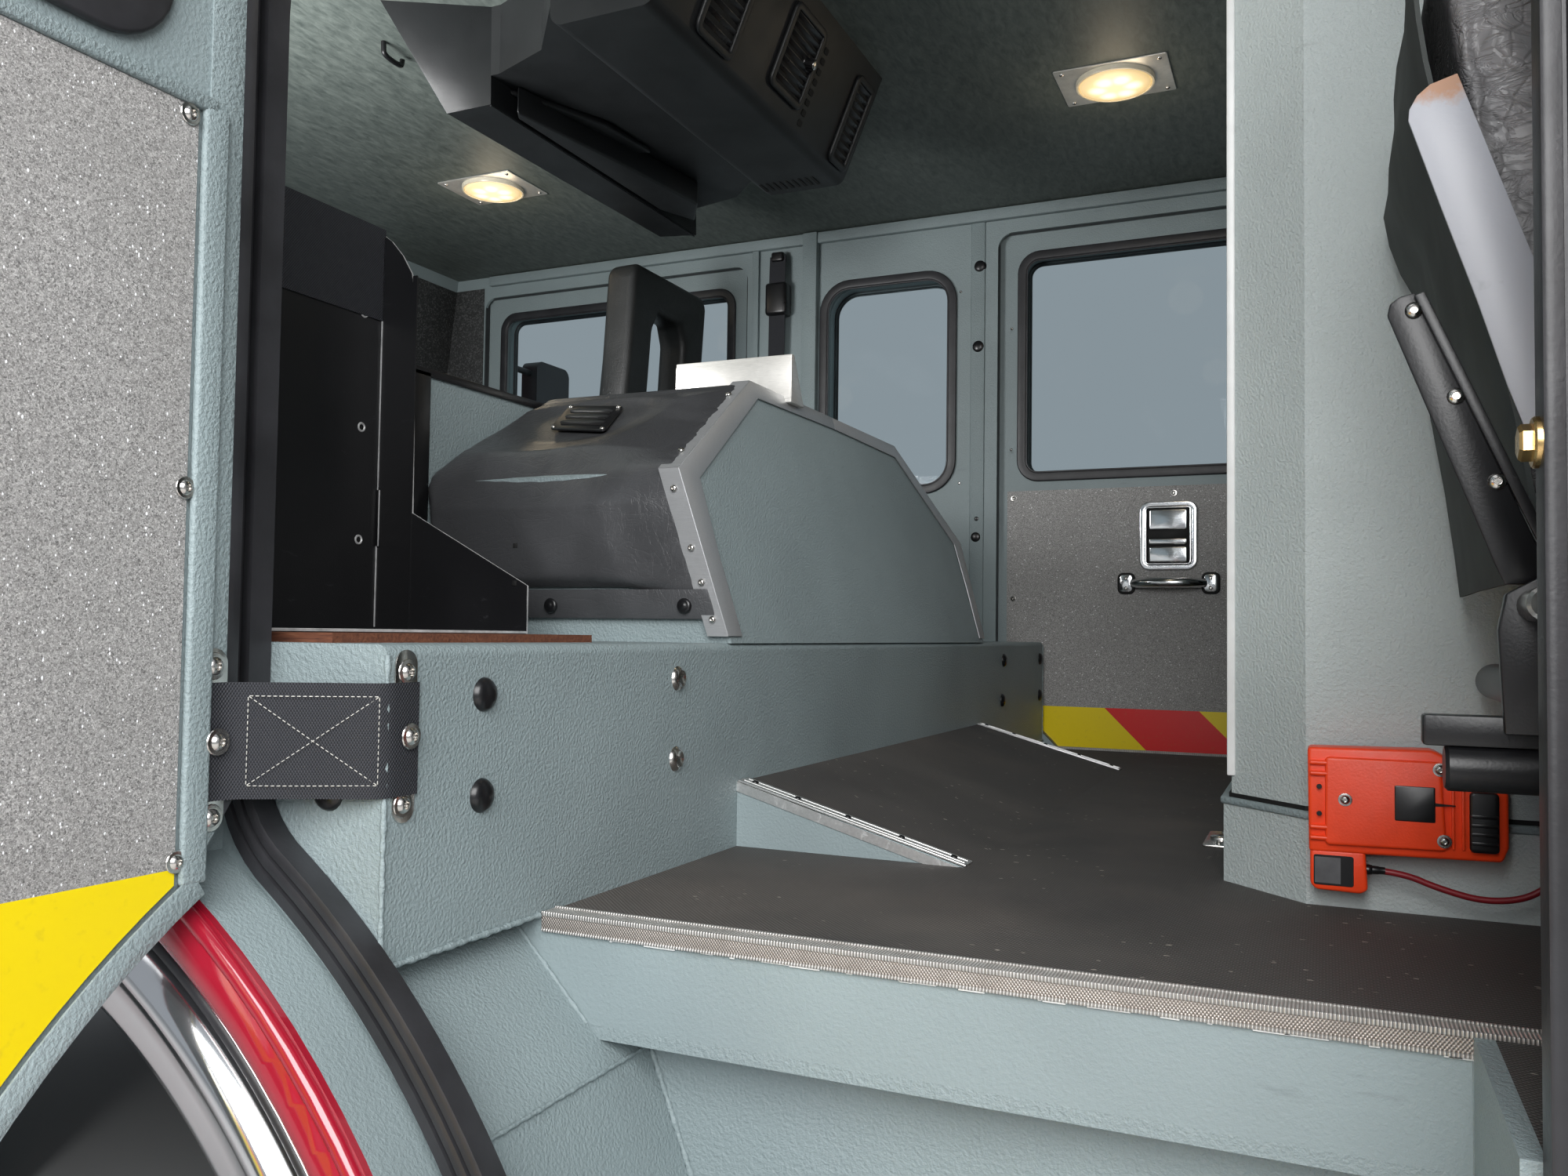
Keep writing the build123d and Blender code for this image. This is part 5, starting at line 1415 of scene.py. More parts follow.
def make_air_unit():
    surrounds, fins, gaps = bmesh.new(), bmesh.new(), bmesh.new()
    grilles = ((165, 285, 16, 168, 7), (-90, 40, 40, 186, 8), (-335, -250, 16, 186, 9))
    for y0, y1, up0, up1, count in grilles:
        join(surrounds, frame_ring(unit_patch(y0, y1, up0, up1, 0.5), 16.0, 13.0, UNIT_OUT * 7.0, 2.6))
        # Near-black behind each grille: painted shade.
        inner = unit_patch(y0 + 9, y1 - 9, up0 + 9, up1 - 9, 0.4)
        join(gaps, slab(inner, UNIT_OUT * 1.0, 0.3, 1, 8.0))
        pitch = (up1 - up0 - 26) / count
        for row in range(count):
            up = up0 + 13 + pitch * (row + 0.5)
            low, high = (up - 2, 1.2), (up + 5, 5.5)
            fin = [on_unit(y0 + 12, *low), on_unit(y1 - 12, *low), on_unit(y1 - 12, *high),
                   on_unit(y0 + 12, *high)]
            join(fins, slab(fin, UNIT_SLOPE * 1.8, 0.5))
    # Near-black slots on the face and the ceiling: painted shade.
    for row in range(8):
        up = 24 + row * 19
        join(gaps, slab(unit_patch(-120, -104, up, up + 11, 0.4), UNIT_OUT * 0.8, 0.2, 1, 3.0))
    for number in range(9):
        x = -1472 - 14 * number
        join(gaps, slab(rectangle("z", 1404.6, x, x + 6, -330, -290), (0, 0, -0.8), 0.2, 1, 2.5))
    finished("air_unit_surrounds", surrounds, moulded, smooth=50.0)
    finished("air_unit_fins", fins, plug_plastic)
    finished("air_unit_gaps", gaps, black_and_gap_shade)
    seat = on_unit(-62, 118, 0.5)
    knob_profile = [(0, 17), (8, 17), (9.5, 15.5), (10.5, 3), (13, 2.5), (14.5, 0), (0, 0)]
    knob = turned(knob_profile, seat, UNIT_OUT, 28)
    for turn in range(14):
        angle = turn * 2 * pi / 14
        place = on_unit(-62 + 10.2 * cos(angle), 118 + 10.2 * sin(angle), 3.5)
        join(knob, bar(place, place + UNIT_OUT * 11.5, 0.8, 6, 0.3))
    finished("air_unit_knob", knob, plug_plastic)
    cap = turned([(0, 18.3), (5.5, 18.2), (7.6, 17.4), (7.8, 16.9), (0, 16.9)], seat, UNIT_OUT, 24)
    finished("air_unit_knob_cap", cap, screw_steel)


def round_curve(name, points, r, rings, steps):
    """A smooth round curve through the space near its points, all in metres."""
    path = bpy.data.curves.new(name, "CURVE")
    path.dimensions = "3D"
    path.bevel_depth = r
    path.bevel_resolution = rings
    path.resolution_u = steps
    path.use_fill_caps = True
    line = path.splines.new("NURBS")
    line.points.add(len(points) - 1)
    for point, place in zip(line.points, points):
        point.co = (*place, 1.0)
    line.order_u = 3
    line.use_endpoint_u = True
    return path


def wire(name, points, r, material, body="root", turn=None):
    """A bent round wire along smooth points."""
    part = curve_part(round_curve(name, [Vector(place) * MM for place in points], r * MM, 5, 10))
    if turn:
        moved(part, turn)
    return finished(name, part, material, body, smooth=60.0)


def make_console_parts():
    """Ceiling hook, and the lips of the console's rear edge, cup and shelf."""
    hook = [(-893, 150, 1605), (-893, 150, 1594), (-892, 147, 1583), (-890, 124, 1581), (-888, 98, 1583),
            (-887, 94, 1588), (-887, 93, 1597)]
    wire("ceiling_hook", hook, 5.0, plug_plastic)
    lips = bmesh.new()
    join(lips, ribbon([(-1164.5, y, 1428.5) for y in (172, -577)], (3.5, 0, 0), 1.6))
    cup = [(-1163, 120), (-1196, 60), (-1250, -60), (-1262, -210), (-1217, -192), (-1206, -28), (-1165, 20)]
    join(lips, slab(on_plane("z", 1470, cup), (0, 0, 12), 4.0, 3))
    shelf = [(-1168, 100), (-1183, 123), (-1230, -140), (-1264, -407), (-1209, -496), (-1171, -404)]
    join(lips, slab(on_plane("z", 1431, shelf), (0, 0, 52), 5.0, 3))
    finished("overhead_console_lip", lips, moulded, smooth=50.0)


make_dome_lights()
make_air_unit()
make_console_parts()


# Door fittings, made on the shut left rear door and carried to each door

FACE_Y = 1171.0
GRAB_Z = FLOOR + 389.0
GRAB_OUT = [(-80, 8), (-66, 22), (-40, 34), (0, 38), (40, 34), (66, 22), (80, 8)]
LATCH_X = {"rear": -2156.0, "front": -880.0}


def latch_parts(x):
    """Chrome paddle latch and grab handle round a middle line, on a face that looks to -Y."""
    bright, dark, screws = bmesh.new(), bmesh.new(), bmesh.new()
    z0, z1 = FLOOR + 421, FLOOR + 588
    rim = rectangle("y", FACE_Y, x - 67, x + 67, z0, z1)
    inner_rim = rectangle("y", FACE_Y - 5, x - 54, x + 54, z0 + 13, z1 - 13)
    pocket = rectangle("y", FACE_Y - 0.6, x - 54, x + 54, z0 + 13, z1 - 13)
    join(bright, frame_ring(rim, 24.0, 13.0, (0, -6.5, 0), 2.6, 4))
    join(bright, frame_ring(inner_rim, 9.0, 4.0, (0, -4.5, 0), 1.4))
    # Near-black pocket behind the paddles: painted shade.
    join(dark, slab(pocket, (0, -1.2, 0), 0.3))
    for low, high, rise in ((19, 56, 9), (62, 76, 12), (98, 147, 7)):
        paddle = rectangle("y", FACE_Y - 1, x - 44, x + 44, z0 + low, z0 + high)
        join(bright, slab(paddle, (0, -rise, 0), 3.0, 3, 4.0))
    # Near-black strip between the paddles: painted shade.
    join(dark, slab(rectangle("y", FACE_Y - 1, x - 44, x + 44, z0 + 78, z0 + 96), (0, -3, 0), 0.8, 2))
    for dx in (-98, 98):
        base = rectangle("y", FACE_Y, x + dx - 21, x + dx + 21, GRAB_Z - 26, GRAB_Z + 26)
        join(dark, slab(base, (0, -7, 0), 3.0, 3, 13.0))
        cap = rectangle("y", FACE_Y - 6.5, x + dx - 15, x + dx + 15, GRAB_Z - 21, GRAB_Z + 21)
        join(bright, slab(cap, (0, -3.5, 0), 1.2, 2, 9.0))
        for dz in (-12, 12):
            join(screws, screw((x + dx, FACE_Y - 10.0, GRAB_Z + dz), (0, -1, 0), 4.6, False))
    return bright, dark, screws


def outside_pull(jamb_x):
    """Outside pull: two bosses and a bowed grip, with a push button plate."""
    part = bmesh.new()
    x = jamb_x + 60
    z = FLOOR + 335
    for dx in (-60, 60):
        boss = rectangle("y", SKIN, x + dx - 14, x + dx + 14, z - 17, z + 17)
        join(part, slab(boss, (0, 38, 0), 5.0, 3, 8.0))
    join(part, slab(rectangle("y", SKIN + 33, x - 70, x + 70, z - 15, z + 15), (0, 14, 0), 5.5, 4, 12.0))
    join(part, turned([(0, 9), (10, 8.6), (13, 6), (14, 0), (0, 0)], (x + 98, SKIN, z), (0, 1, 0), 28))
    return part


def make_door_fittings():
    """Each door's latch, grab handle and outside pull."""
    for place, latch_x in LATCH_X.items():
        for _, word in SIDES:
            bright, dark, screws = latch_parts(latch_x)
            pull = outside_pull(DOORWAYS[place][0])
            points = [(latch_x + along, FACE_Y - out, GRAB_Z) for along, out in GRAB_OUT]
            turn = to_open_door() if (place, word) == ("rear", "left") else None
            if word == "right":
                turn = Matrix.Scale(-1.0, 4, (0, 1, 0))
            if turn:
                for part in (bright, dark, screws, pull):
                    moved(part, turn)
            body = f"door_{place}_{word}_body"
            join(bright, pull)
            finished(f"latch_{place}_{word}", bright, chrome, body,
                     [f"door_handles_{place}_{word}"], smooth=35.0)
            finished(f"latch_pocket_{place}_{word}", dark, black_and_gap_shade, body)
            finished(f"latch_screws_{place}_{word}", screws, screw_steel, body)
            wire(f"grab_{place}_{word}", points, 12.0, chrome, body, turn)


def make_panel_screws():
    """Panel screws of the three shut doors."""
    for place, (x0, x1) in DOORWAYS.items():
        for side, word in SIDES:
            if (place, word) == ("rear", "left"):
                continue
            screws = bmesh.new()
            xs = [x0 + 40, (x0 + x1) / 2, x1 - 40]
            spots = [(x, FLOOR + 608) for x in xs] + [(x0 + 40, FLOOR + 352), (x1 - 40, FLOOR + 352)]
            for x, z in spots:
                join(screws, screw((x, side * FACE_Y, z), (0, -side, 0), 5.0))
            body = f"door_{place}_{word}_body"
            finished(f"panel_screws_{place}_{word}", screws, screw_steel, body)


make_door_fittings()
make_panel_screws()


# Rear cabinet: white edge strips, roll door slats, strike plate and the charger

def make_cabinet():
    """Edge strips, plinth lip with a painted shadow line, roll door, floor strike plate, and the plugs in the
    cabinet's sides.
    """
    strips = bmesh.new()
    for side, _ in SIDES:
        y0, y1 = sorted((side * 486.0, side * 497.0))
        join(strips, block((-2414.0, y0, 361.0), (-2405.5, y1, 1605.0), 1.6, 3))
    finished("cabinet_edge_strips", strips, white_edge)
    # Plinth lip, and a thin near-black strip by it that is a painted shadow line.
    lip, shadow_line = bmesh.new(), bmesh.new()
    x, half, cut = -2409.0, 565.0, 73.0
    for grow, z0, z1, rounded, whole in ((10.5, 331.0, 338.6, 2.6, lip), (1.6, 338.4, 343.0, 0.0, shadow_line)):
        foot = [(-3018, -half - grow), (x - cut, -half - grow), (x + grow, -half + cut),
                (x + grow, half - cut), (x - cut, half + grow), (-3018, half + grow)]
        join(whole, slab(on_plane("z", z0, foot), (0, 0, z1 - z0), rounded, 3))
    finished("cabinet_plinth_lip", lip, grey, smooth=50.0)
    finished("cabinet_plinth_shadow_line", shadow_line, black_and_gap_shade)
    slats = bmesh.new()
    for row in range(36):
        z = 366 + row * 33
        join(slats, block((-2421.0, -462, z), (-2413.5, 462, z + 29), 2.6, 3))
    join(slats, block((-2424.0, -300, 372), (-2404.0, 300, 384), 3.0, 3))
    finished("cabinet_slats", slats, aluminium, replaces=["cabinet_door"])
    strike = slab(rectangle("z", 250, -2400, -2362, 168, 288), (0, 0, 3.0), 0.8, 2, 5.0)
    for y in (182, 274):
        join(strike, screw((-2381, y, 253), (0, 0, 1), 4.0, False))
    strike_ring = [(5, 4), (12, 4), (14, 2.5), (14.5, 0), (5, 0), (5, 4)]
    join(strike, turned(strike_ring, (-2381, 228, 253), (0, 0, 1), 28))
    finished("floor_strike", strike, screw_steel)
    grommet = turned([(4.2, 3.4), (7, 5.2), (10, 4.6), (12, 2.4), (12.5, 0), (4.2, 0), (4.2, 3.4)],
                     (-2691, half, 346), (0, 1, 0), 24)
    for side, _ in SIDES:
        join(grommet, plug((-2676, side * half, 1180), (0, side, 0), 9.0, 4.0))
    finished("cabinet_grommet", grommet, plug_plastic, smooth=60.0)


def make_charger():
    """Charger's case with its deck, contacts and switch, and the supply block under it."""
    body, dark, screws = bmesh.new(), bmesh.new(), bmesh.new()
    shell = [(-2649, 322), (-2644, 309), (-2486, 306), (-2485, 404), (-2590, 406), (-2604, 398), (-2644, 392),
             (-2649, 384)]
    join(body, slab(on_plane("y", 574, shell), (0, 34, 0), 3.2, 3))
    deck = [(-2600, 316), (-2500, 314), (-2500, 396), (-2596, 396)]
    join(body, slab(on_plane("y", 606, deck), (0, 6.5, 0), 2.4, 3, 4.0))
    for z in (320, 330, 380, 390):
        join(body, bar((-2487, 610, z), (-2510, 610, z), 2.4, 12, 0.8))
    for x in (-2604, -2612):
        join(body, block((x - 2.5, 606, 318), (x, 611, 388), 0.9))
    join(dark, slab(rectangle("y", 611, -2591, -2558, 341, 373), (0, 2.4, 0), 0.8, 2, 1.5))
    join(dark, slab(rectangle("y", 606, -2641, -2618, 317, 371), (0, 8.5, 0), 2.4, 3, 4.0))
    for row in range(4):
        join(dark, block((-2640, 614, 324 + row * 8), (-2619, 616, 327 + row * 8), 0.6))
    pointer = [(-2607, 358), (-2591, 359), (-2591, 356), (-2607, 357)]
    join(dark, slab(on_plane("y", 612.6, pointer), (0, 0.5, 0)))
    for x, z in ((-2517, 357), (-2598, 325), (-2595, 389)):
        join(screws, screw((x, 612.4, z), (0, 1, 0), 4.2))
    for x, z in ((-2495, 368), (-2495, 343)):
        join(dark, turned([(0, 0.3), (2.2, 0.3), (2.4, 0.0), (0, 0)], (x, 612.6, z), (0, 1, 0), 14))
    supply = [(-2536, 274), (-2534, 309), (-2487, 309), (-2487, 276), (-2492, 271), (-2530, 270)]
    join(body, slab(on_plane("y", 574, supply), (0, 33, 0), 2.8, 3))
    finished("charger_case", body, charger_orange, replaces=["charger"])
    join(dark, slab(rectangle("y", 607, -2524, -2490, 276, 304), (0, 0.9, 0), 0.3, 1, 2.0))
    join(dark, slab(rectangle("y", 573.4, -2640, -2496, 338, 400), (0, 1.0, 0), 0.3))
    relief = [(4.6, 0), (4.8, 2), (4.4, 5), (4.0, 5.4), (4.0, 7.4), (3.9, 8), (3.9, 10), (3.6, 11),
              (3.4, 16), (0, 17), (0, 0), (4.6, 0)]
    join(dark, turned(relief, (-2534.5, 598, 292), (-1, 0, 0), 18))
    finished("charger_parts", dark, plug_plastic)
    finished("charger_screws", screws, screw_steel)
    label = slab(rectangle("y", 608, -2513, -2491, 278, 302), (0, 0.3, 0))
    finished("supply_label", label, label_grey)


# The lead's way in metres, from the supply's strain relief to the grommet
LEAD_POINTS = [(-2.535, 0.598, 0.292), (-2.563, 0.598, 0.292), (-2.595, 0.600, 0.280), (-2.633, 0.602, 0.272),
               (-2.670, 0.600, 0.280), (-2.693, 0.599, 0.308), (-2.691, 0.598, 0.346), (-2.691, 0.565, 0.346)]
LEAD_WIDE = 0.006


def make_lead():
    """Charger's lead, as a round curve on the root body."""
    path = round_curve("charger_cable", LEAD_POINTS, LEAD_WIDE / 2, 4, 16)
    path.materials.append(lead_jacket)
    lead = bpy.data.objects.new("charger_cable", path)
    bpy.context.scene.collection.objects.link(lead)
    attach(lead, "root")
    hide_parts("charger_lead")


make_cabinet()
make_charger()
make_lead()


# Floor edges, ramp trims, and the seams of the wheel house

# The ramps' slope, the way out of it, and the foot of the left ramp's outer edge
RAMP_SLOPE = Vector((279.0, 0.0, 76.0)).normalized()
RAMP_OUT = Vector((-76.0, 0.0, 279.0)).normalized()
RAMP_FOOT = Vector((-2139.0, 555.0, 250.2))
RAMP_LONG = 291.0
RAMP_TRIM = Vector((0, -28, 0))


def make_step_edges():
    """Nosings along the step wells, their ends, and chips in the paint under them."""
    noses, ends, chips = bmesh.new(), bmesh.new(), bmesh.new()
    for side, _ in SIDES:
        for x0, x1 in ((-2640.0, -1860.0), (-808.0, -120.0)):
            rows = bmesh.new()
            join(rows, block((x0, 927, 249.6), (x1, 950.0, 252.6), 0.8))
            join(rows, block((x0 + 1, 927, 252.0), (x1 - 1, 930.5, 254.0), 0.7, 2))
            join(rows, block((x0, 947.2, 235.5), (x1, 950.0, 252.6), 0.7))
            join(rows, block((x0 + 1, 949.2, 249.2), (x1 - 1, 951.4, 253.6), 0.9, 2))
            join(rows, block((x0 + 1, 949.2, 235.5), (x1 - 1, 951.2, 238.0), 0.8, 2))
            join(noses, on_side(rows, side))
            spots = bmesh.new()
            for number in range(int((x1 - x0) / 34.0)):
                x = x0 + 34.0 * number + 9.0 * sin(number * 2.3)
                long = 13.0 + 11.0 * sin(number * 1.7 + 0.4)
                deep = 0.6 + 0.5 * sin(number * 3.1)
                join(spots, block((x, 948.6, 234.9 - deep), (x + long * 1.3, 949.6, 235.4), 0.2, 1))
            join(chips, on_side(spots, side))
        filler = block((-2642.0, 944.0, 160.5), (-2586.5, 949.0, 249.5), 0.8)
        join(filler, block((-2642.0, 893.0, 249.0), (-2586.5, 948.0, 249.9), 0.2, 1))
        join(filler, block((-2642.0, 889.0, -60.0), (-2586.5, 892.0, 249.5), 0.5, 1))
        join(ends, on_side(filler, side))
    finished("step_nosings", noses, nosing, replaces=["edge_trims"])
    finished("step_ends", ends, grey)
    finished("paint_chips", chips, chip_white)


def make_ramp_trims():
    """Folded trim along each ramp's outer edge, with two grooved lines and screws."""
    ramps, screws = bmesh.new(), bmesh.new()
    for side, _ in SIDES:
        strip = bmesh.new()
        head = RAMP_FOOT + RAMP_SLOPE * RAMP_LONG
        join(strip, slab([RAMP_FOOT, head, head + RAMP_TRIM, RAMP_FOOT + RAMP_TRIM], RAMP_OUT * 2.6, 0.8))
        edge = [RAMP_FOOT + Vector((4, 1.8, -1)), head + Vector((0, 1.8, 0))]
        join(strip, ribbon(edge, RAMP_OUT * -11 + RAMP_SLOPE * 3, 2.0))
        for row in (7, 20):
            line = RAMP_FOOT + RAMP_OUT * 2.4 + Vector((0, -row, 0))
            join(strip, bar(line + RAMP_SLOPE * 3, line + RAMP_SLOPE * 286, 1.4, 8, 0.5))
        for along in (18, 82, 150, 216, 274):
            place = RAMP_FOOT + RAMP_SLOPE * along + RAMP_OUT * 2.6 + RAMP_TRIM / 2
            place.y *= side
            join(screws, screw(place, RAMP_OUT, 4.0, False))
        join(ramps, on_side(strip, side))
    finished("ramp_trims", ramps, trim_pale)
    finished("ramp_trim_screws", screws, plug_plastic)


# Weld beads: the line's points, and the bead's radius
SEAMS = [([(-1857.6, 1149, 262), (-1857.6, 1149, 484)], 2.2),
         ([(-1858.6, 1147, 249.6), (-1858.6, 952, 249.6)], 2.4),
         ([(-1822, 948.3, 247.5), (-1866, 948.6, 204), (-1909, 948.3, 160.5)], 2.0),
         ([(-1941, 1147, 130.6), (-1941, 1040, 130.8), (-1941, 893, 130.6)], 1.8),
         ([(-1911, 893, 160), (-1941, 893, 131), (-2041, 893, -112)], 2.6),
         ([(-1909, 948, 160.5), (-1911, 920, 160.2), (-1911, 894, 160)], 1.8)]


def make_seams():
    """Weld beads along the riser and the wheel houses."""
    seams = bmesh.new()
    for side, _ in SIDES:
        for number, (line, r) in enumerate(SEAMS):
            points = [(x, side * y, z) for x, y, z in line]
            join(seams, bead(points, r, number * 1.3))
    finished("weld_beads", seams, grey, smooth=70.0)


make_step_edges()
make_ramp_trims()
make_seams()


# Flip-up seats and seat backs

SEAT_LEAN = radians(8.0)
SEAT_HINGE = Vector((-2617.0, 0.0, 524.0))


def on_seat():
    """Turns a seat's own frame, upright on its hinge line, to its raised place."""
    return Matrix.Translation(SEAT_HINGE) @ Matrix.Rotation(SEAT_LEAN, 4, "Y")


def near_board(point):
    """True for the cushion's points that are held by its board."""
    reach = point - SEAT_HINGE
    return reach.x * cos(SEAT_LEAN) - reach.z * sin(SEAT_LEAN) > -19.0


# Outlines of the seat's side plate, arm and ridge, as X and Z
SEAT_FLANGE = [(-2549.8, 836), (-2550.3, 843), (-2554.8, 851.4), (-2562.2, 857.6), (-2577.4, 862),
               (-2619, 735), (-2648, 610), (-2640, 545), (-2622, 540), (-2617, 620), (-2603, 662),
               (-2587, 717), (-2568, 777)]
SEAT_ARM = [(-2537, 711), (-2538.5, 718.4), (-2543.8, 722.5), (-2553, 724.5), (-2622, 552), (-2616, 540),
            (-2600, 540), (-2595, 552)]
SEAT_RIDGE = [(-2552, 722), (-2558, 724), (-2628, 556), (-2621, 556)]
SEAT_SCREWS = [(-2552, 713), (-2574.9, 657), (-2596.7, 603)]
SEAT_SIDE_Y = 1001.0

# Slack fabric under the cushion: height, then how far it stands out at its inner and outer line
SLACK = [(22, 4.0, -6.0), (60, 3.0, -8.0), (120, 1.0, -5.0), (200, 0.0, -1.0), (260, -3.0, 2.0),
         (304, -2.7, 5.0), (327, 5.7, 6.0), (355, 11.8, 7.0), (383, 13.4, 7.0), (414, 0.6, 6.0),
         (448, -5.6, 2.0), (466, -8.0, -2.0)]


def slack_cover():
    """The raised cushion's fabric underside: two slack lines bridged, then given a thickness."""
    part = bmesh.new()
    rows = []
    for y, column in ((608.0, 1), (1000.0, 2)):
        line = [part.verts.new((row[column] - 3.0, y, row[0])) for row in SLACK]
        rows += [part.edges.new(pair) for pair in zip(line, line[1:])]
    bmesh.ops.bridge_loops(part, edges=rows)
    across = [e for e in part.edges if abs(e.verts[0].co.y - e.verts[1].co.y) > 100]
    bmesh.ops.subdivide_edges(part, edges=across, cuts=5, use_grid_fill=True)
    for vertex in part.verts:
        vertex.co.x += 2.2 * sin(vertex.co.y / 37.0 + vertex.co.z / 61.0)
    bmesh.ops.solidify(part, geom=part.faces[:], thickness=3.0)
    return part


def make_flip_seats():
    """Flip-up cushions with their undersides, side plates, arms, screws and pins."""
    for side, word in SIDES:
        mirror = Matrix.Scale(-1.0, 4, (0, 1, 0)) if side < 0 else Matrix.Identity(4)
        body = f"cushion_{word}_body"
        if side > 0:
            pad = slab(rectangle("x", -12, 612, 998, 26, 462), (-56, 0, 0), 14.0, 3, 24.0)
            moved(pad, on_seat())
            left = stuffed("flip_cushion_left", pad, sheen_painted_vinyl, body, ["seat_cushion_left"],
                           voxel=7.0, cap=10.0, held=near_board)
        else:
            twin(left, "flip_cushion_right", body, ["seat_cushion_right"])
        cover = moved(moved(slack_cover(), on_seat()), mirror)
        finished(f"flip_seat_underside_{word}", cover, olive_fabric, body, smooth=70.0)
        flanges, arms, screws = bmesh.new(), bmesh.new(), bmesh.new()
        join(arms, block((-2650, 601, 579), (-2613, 606, 616), 1.5, 2))
        join(flanges, slab(on_plane("y", SEAT_SIDE_Y, SEAT_FLANGE), (0, 2.4, 0), 0.6))
        join(arms, slab(on_plane("y", SEAT_SIDE_Y + 2.6, SEAT_ARM), (0, 3.0, 0), 1.2, 2))
        join(arms, slab(on_plane("y", SEAT_SIDE_Y + 2.6, SEAT_RIDGE), (0, 5.6, 0), 0.8, 2))
        for x, z in SEAT_SCREWS:
            join(screws, screw((x, SEAT_SIDE_Y + 5.6, z), (0, 1, 0), 5.2, False))
        for part, kind, material, slot in ((flanges, "flanges", sunlit_seat_steel, "black_steel"),
                                           (arms, "arms", steel_black, "black_steel"),
                                           (screws, "screws", screw_steel, "bright_metal")):
            finished(f"flip_seat_{kind}_{word}", moved(part, mirror), material, body)
        ends = bmesh.new()
        join(ends, bar((-2614, side * 1020, 527), (-2614, side * 1062, 527), 10.0, 24, 2.0))
        finished(f"flip_seat_pins_{word}", ends, screw_steel, body)


NEAR_EAR = [(-2717, 450), (-2598, 450), (-2595, 512), (-2599, 534), (-2617, 544), (-2717, 600)]
FAR_EAR = [(-2717, 450), (-2650, 450), (-2645, 512), (-2652, 548), (-2717, 600)]


def make_seat_stands():
    """Stands of the flip-up seats, and the crew backs above them."""
    stands = bmesh.new()
    for side, _ in SIDES:
        stand = bmesh.new()
        for y0, ear in ((590, FAR_EAR), (1010, NEAR_EAR)):
            join(stand, slab(on_plane("y", y0, ear), (0, 10, 0), 1.2, 2))
        join(stand, block((-3019, 600, 450), (-2698, 1010, 606), 4.0, 3))
        join(stand, bar((-2640, 602, 470), (-2640, 1008, 470), 16.0, 28, 2.0))
        for y, front in ((606, -2650), (1004, -2555)):
            join(stand, block((-2700, y - 9, 441), (front, y + 9, 460), 2.0, 2))
            join(stand, bar((-2700, y, 427.5), (front - 12, y, 427.5), 14.5, 28, 2.0))
        join(stands, on_side(stand, side))
    finished("flip_seat_stands", stands, steel_black, replaces=["jump_seats"])
    back = slab(rectangle("x", -2800, 618, 992, 628, 1182), (-150, 0, 0), 26.0, 3, 50.0)
    left = stuffed("crew_back_left", back, seat_vinyl, "root", (), voxel=9.0, cap=16.0,
                   held=lambda p: p.x < -2925)
    twin(left, "crew_back_right", "root")
    frames = bmesh.new()
    for side, _ in SIDES:
        low, high = sorted((side * 605, side * 1005))
        join(frames, block((-3019, low, 606), (-2940, high, 1196), 12.0, 3))
    finished("crew_back_frames", frames, moulded)


def make_front_seats():
    """Driver's and officer's seats: swelled pads, a shell with an arched back, and a boxed stand."""
    shells, frames = bmesh.new(), bmesh.new()
    y0, y1 = 625.0, 1075.0
    base = FLOOR + 242
    for word, x, side in (("driver", -1170.0, 1), ("officer", -770.0, -1)):
        seat = [(x - 40, base + 108), (x + 402, base + 112), (x + 408, base + 178), (x - 40, base + 168)]
        rest = [(x - 66, base + 190), (x + 4, base + 196), (x - 52, base + 560), (x - 112, base + 560)]
        pads = {"seat": slab(on_plane("y", y0 + 18, seat), (0, y1 - y0 - 36, 0), 20.0, 3),
                "back": slab(on_plane("y", y0 + 40, rest), (0, y1 - y0 - 80, 0), 20.0, 3)}
        for kind, pad in pads.items():
            stands_for = ["front_seats"] if (word, kind) == ("driver", "seat") else ()
            stuffed(f"{word}_{kind}_pad", on_side(pad, side), seat_vinyl, "root", stands_for,
                    voxel=11.0, cap=16.0, frames=8)
        arch = bmesh.new()
        in_y = y0 + 118 if side > 0 else y0
        inner_leg = [(in_y + dy, base + up) for dy, up in ((26, 520), (34, 690), (34, 905), (56, 930))]
        outer_leg = [(y1 - dy, base + up) for dy, up in ((56, 930), (34, 905), (34, 690), (26, 520))]
        outer_gap = [(y1 - dy, base + up) for dy, up in ((140, 520), (144, 780), (170, 830))]
        inner_gap = [(in_y + dy, base + up) for dy, up in ((170, 830), (144, 780), (140, 520))]
        outline = inner_leg + outer_leg + outer_gap + inner_gap
        leaning = [(x - 160 - (z - base - 520) * 0.06, y, z) for y, z in outline]
        join(arch, slab(leaning, (84, 0, 0), 18.0, 4))
        lower = [(x - 122, base + 196), (x - 66, base + 190), (x - 90, base + 560), (x - 166, base + 560)]
        join(arch, slab(on_plane("y", y0 + 24, lower), (0, y1 - y0 - 48, 0), 14.0, 3))
        join(shells, on_side(arch, side))
        stand = bmesh.new()
        front = min(x + 300, -815.0)
        join(stand, block((x - 60, y0 + 60, base), (front, y1 - 60, base + 90), 8.0, 3))
        join(stand, block((x - 70, y0 + 10, base + 88), (x + 410, y1 - 10, base + 112), 8.0, 3))
        for y in (y0 + 90, y1 - 90):
            join(stand, block((x - 70, y - 12, base + 0.5), (front, y + 12, base + 14), 3.0, 2))
        join(frames, on_side(stand, side))
    finished("front_seat_shells", shells, seat_vinyl, smooth=60.0)
    finished("front_seat_stands", frames, steel_black)


make_flip_seats()
make_seat_stands()
make_front_seats()


# Right front corner: belt reel, pillar covers and rails seen past the tunnel

POST_X = 99.6
REEL_X = -1128.0

